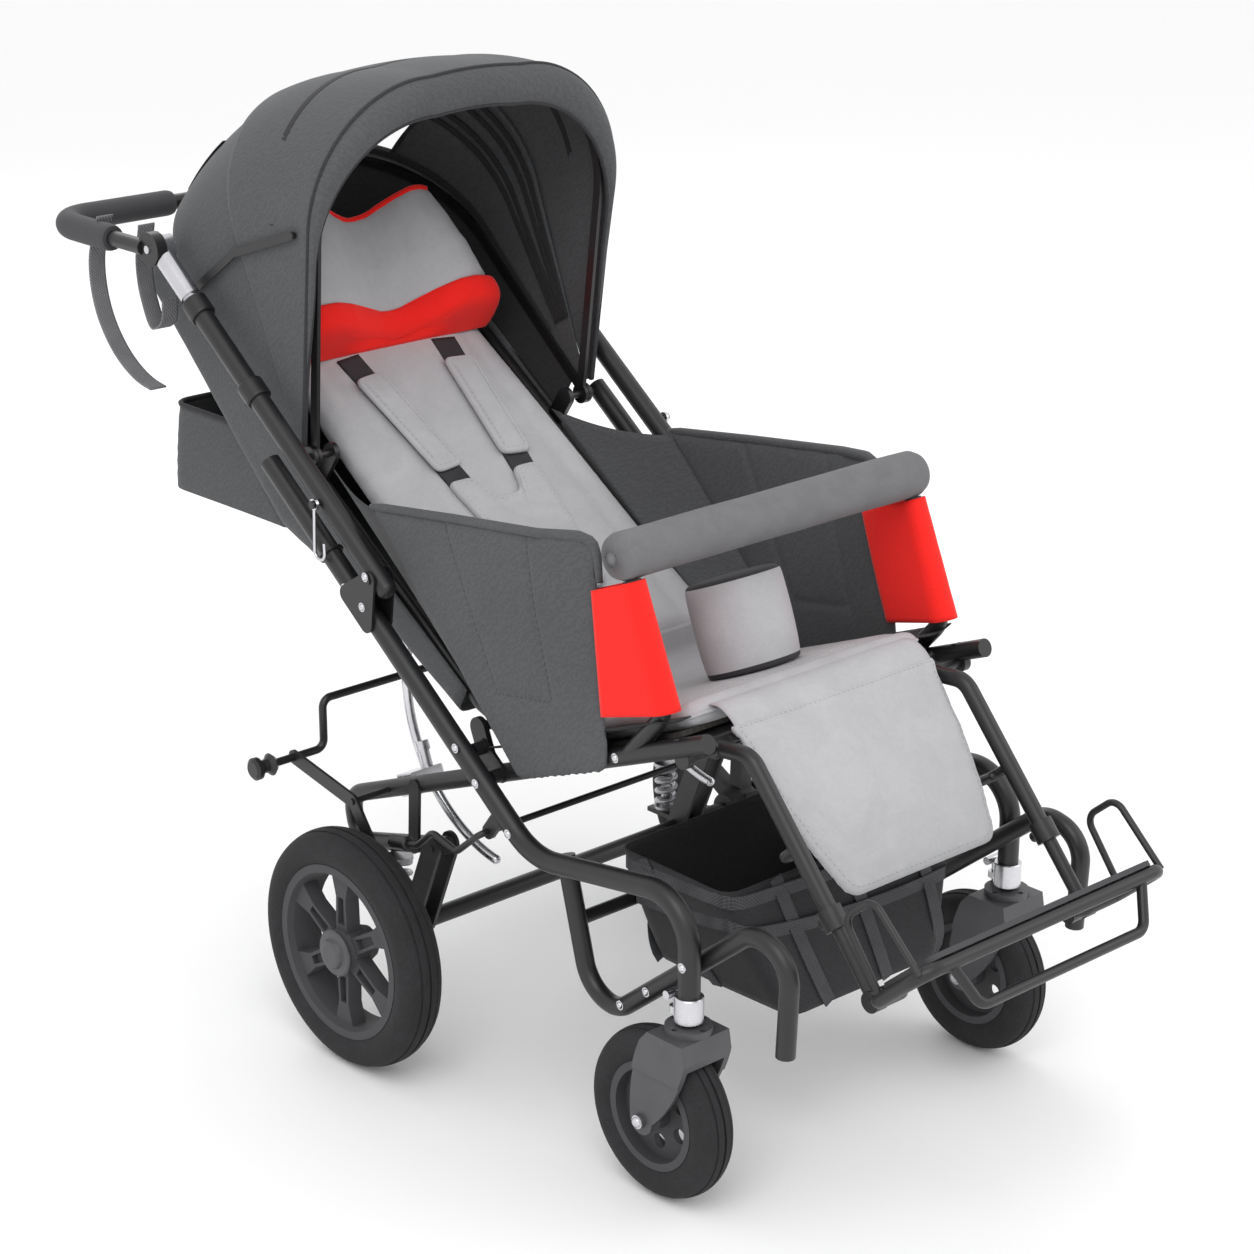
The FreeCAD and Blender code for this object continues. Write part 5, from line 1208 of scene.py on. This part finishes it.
class STROLLER_OT_grips(bpy.types.Operator):
    """Slip the foam grips on the push handle"""
    bl_idname = "stroller.grips"
    bl_label = "Grips"

    def execute(self, context):
        section = ring(in_mm("grip"), 28)
        hinge = pivot("handle_tilt")
        rear = 215
        line = [(HANDLE, y) for y in np.linspace(82, 165, 12)]
        line += [(HANDLE - HANDLE_BEND + HANDLE_BEND * math.cos(a), rear - HANDLE_BEND + HANDLE_BEND * math.sin(a))
                 for a in np.linspace(0, math.pi / 2, 14)[1:]]
        line += [(x, rear) for x in np.linspace(218, 96, 16)]
        line = spaced(line, 80)
        size = np.ones(80)
        size[:3] = (0.9, 0.97, 1.0)
        size[-3:] = (1.0, 0.97, 0.9)
        for side, word in SIDES:
            way = stacked(side * line[:, 0], hinge[1] + line[:, 1], hinge[2])
            foam = piece("handle_grip_" + word, loft(swept(way, section, UPRIGHT, size)), "grip_foam", "push_bar",
                         "grip_foam", ["handle_grips"], 50)
            crumple(foam, 0.4, 40, side)
        return {"FINISHED"}


class STROLLER_OT_straps(bpy.types.Operator):
    """Hang the pull straps from the push handle"""
    bl_idname = "stroller.straps"
    bl_label = "Handle straps"

    def execute(self, context):
        for name, x, points in (
                ("long", -262, [(546, 938), (570, 877), (560, 815), (524, 768), (470, 740), (446, 736)]),
                ("short", -238.5, [(490, 933), (500, 880), (492, 838), (470, 805), (452, 816), (446, 846)])):
            line = through([beside(x, y, z) for y, z in points], 60)
            strap = piece("pull_strap_" + name, loft(swept(line, strip(25, 1.8), ACROSS)), "tape_light",
                          "handle_slide", "cloth_dark")
            sheet((0.025, float(gone(line)[-1] / 1000)), "hung", ["handle_slides"])
        return {"FINISHED"}


class STROLLER_OT_fittings(bpy.types.Operator):
    """Set the bolts of the frame and of the casters"""
    bl_idname = "stroller.fittings"
    bl_label = "Fittings"

    def execute(self, context):
        bolts = [dome(beside(side * x, y, z), ACROSS * side) for side, _ in SIDES for x, y, z in (
            (274.2, 59, 575), (274.2, -141, 433), (274.2, -176, 400), (274.2, -232, 356), (274.1, -518, 293),
            (279.6, 12, 601.6), (277.6, 21.9, 561.8), (248.9, -393, 193), (248.9, -435, 225), (232.8, -366, 478))]
        piece("bolts_chassis", joined(bolts), "plating", "chassis", "chrome", (), 40)
        for _, word in SIDES:
            axle = pivot("caster_wheel_" + word + "_spin")
            low, high = (corner[0] * 1000 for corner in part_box("caster_fork_" + word))
            bolts = [dome((x, axle[1], axle[2]), way, 6, 5) for x, way in ((low - 0.2, -ACROSS), (high + 0.2, ACROSS))]
            piece("caster_bolts_" + word, joined(bolts), "plating", "caster_" + word, "chrome", (), 40)
        return {"FINISHED"}


class STROLLER_PT_panel(bpy.types.Panel):
    """Lists the stroller's pieces, sizes and colours"""
    bl_label = "Stroller"
    bl_idname = "STROLLER_PT_panel"
    bl_space_type = "VIEW_3D"
    bl_region_type = "UI"
    bl_category = "Stroller"

    def draw(self, context):
        for step in STEPS:
            self.layout.operator(step.bl_idname)
        for group in (context.scene.stroller_sizes, context.scene.stroller_colours):
            for name in group.__annotations__:
                self.layout.prop(group, name)


STEPS = (
    STROLLER_OT_finishes, STROLLER_OT_stage, STROLLER_OT_seat, STROLLER_OT_back, STROLLER_OT_headrest,
    STROLLER_OT_harness, STROLLER_OT_hood, STROLLER_OT_sides, STROLLER_OT_bar, STROLLER_OT_pommel, STROLLER_OT_legs,
    STROLLER_OT_basket, STROLLER_OT_pocket, STROLLER_OT_grips, STROLLER_OT_straps, STROLLER_OT_fittings)
CLASSES = (StrollerColours, StrollerSizes, *STEPS, STROLLER_PT_panel)


def register():
    for kind in CLASSES:
        bpy.utils.register_class(kind)
    bpy.types.Scene.stroller_colours = bpy.props.PointerProperty(type=StrollerColours)
    bpy.types.Scene.stroller_sizes = bpy.props.PointerProperty(type=StrollerSizes)


def unregister():
    del bpy.types.Scene.stroller_sizes
    del bpy.types.Scene.stroller_colours
    for kind in reversed(CLASSES):
        bpy.utils.unregister_class(kind)


def main():
    register()
    bpy.ops.stroller.finishes()
    bpy.ops.stroller.stage()
    bpy.ops.stroller.seat()
    bpy.ops.stroller.back()
    bpy.ops.stroller.headrest()
    bpy.ops.stroller.harness()
    bpy.ops.stroller.hood()
    bpy.ops.stroller.sides()
    bpy.ops.stroller.bar()
    bpy.ops.stroller.pommel()
    bpy.ops.stroller.legs()
    bpy.ops.stroller.basket()
    bpy.ops.stroller.pocket()
    bpy.ops.stroller.grips()
    bpy.ops.stroller.straps()
    bpy.ops.stroller.fittings()


if __name__ == "__main__":
    main()
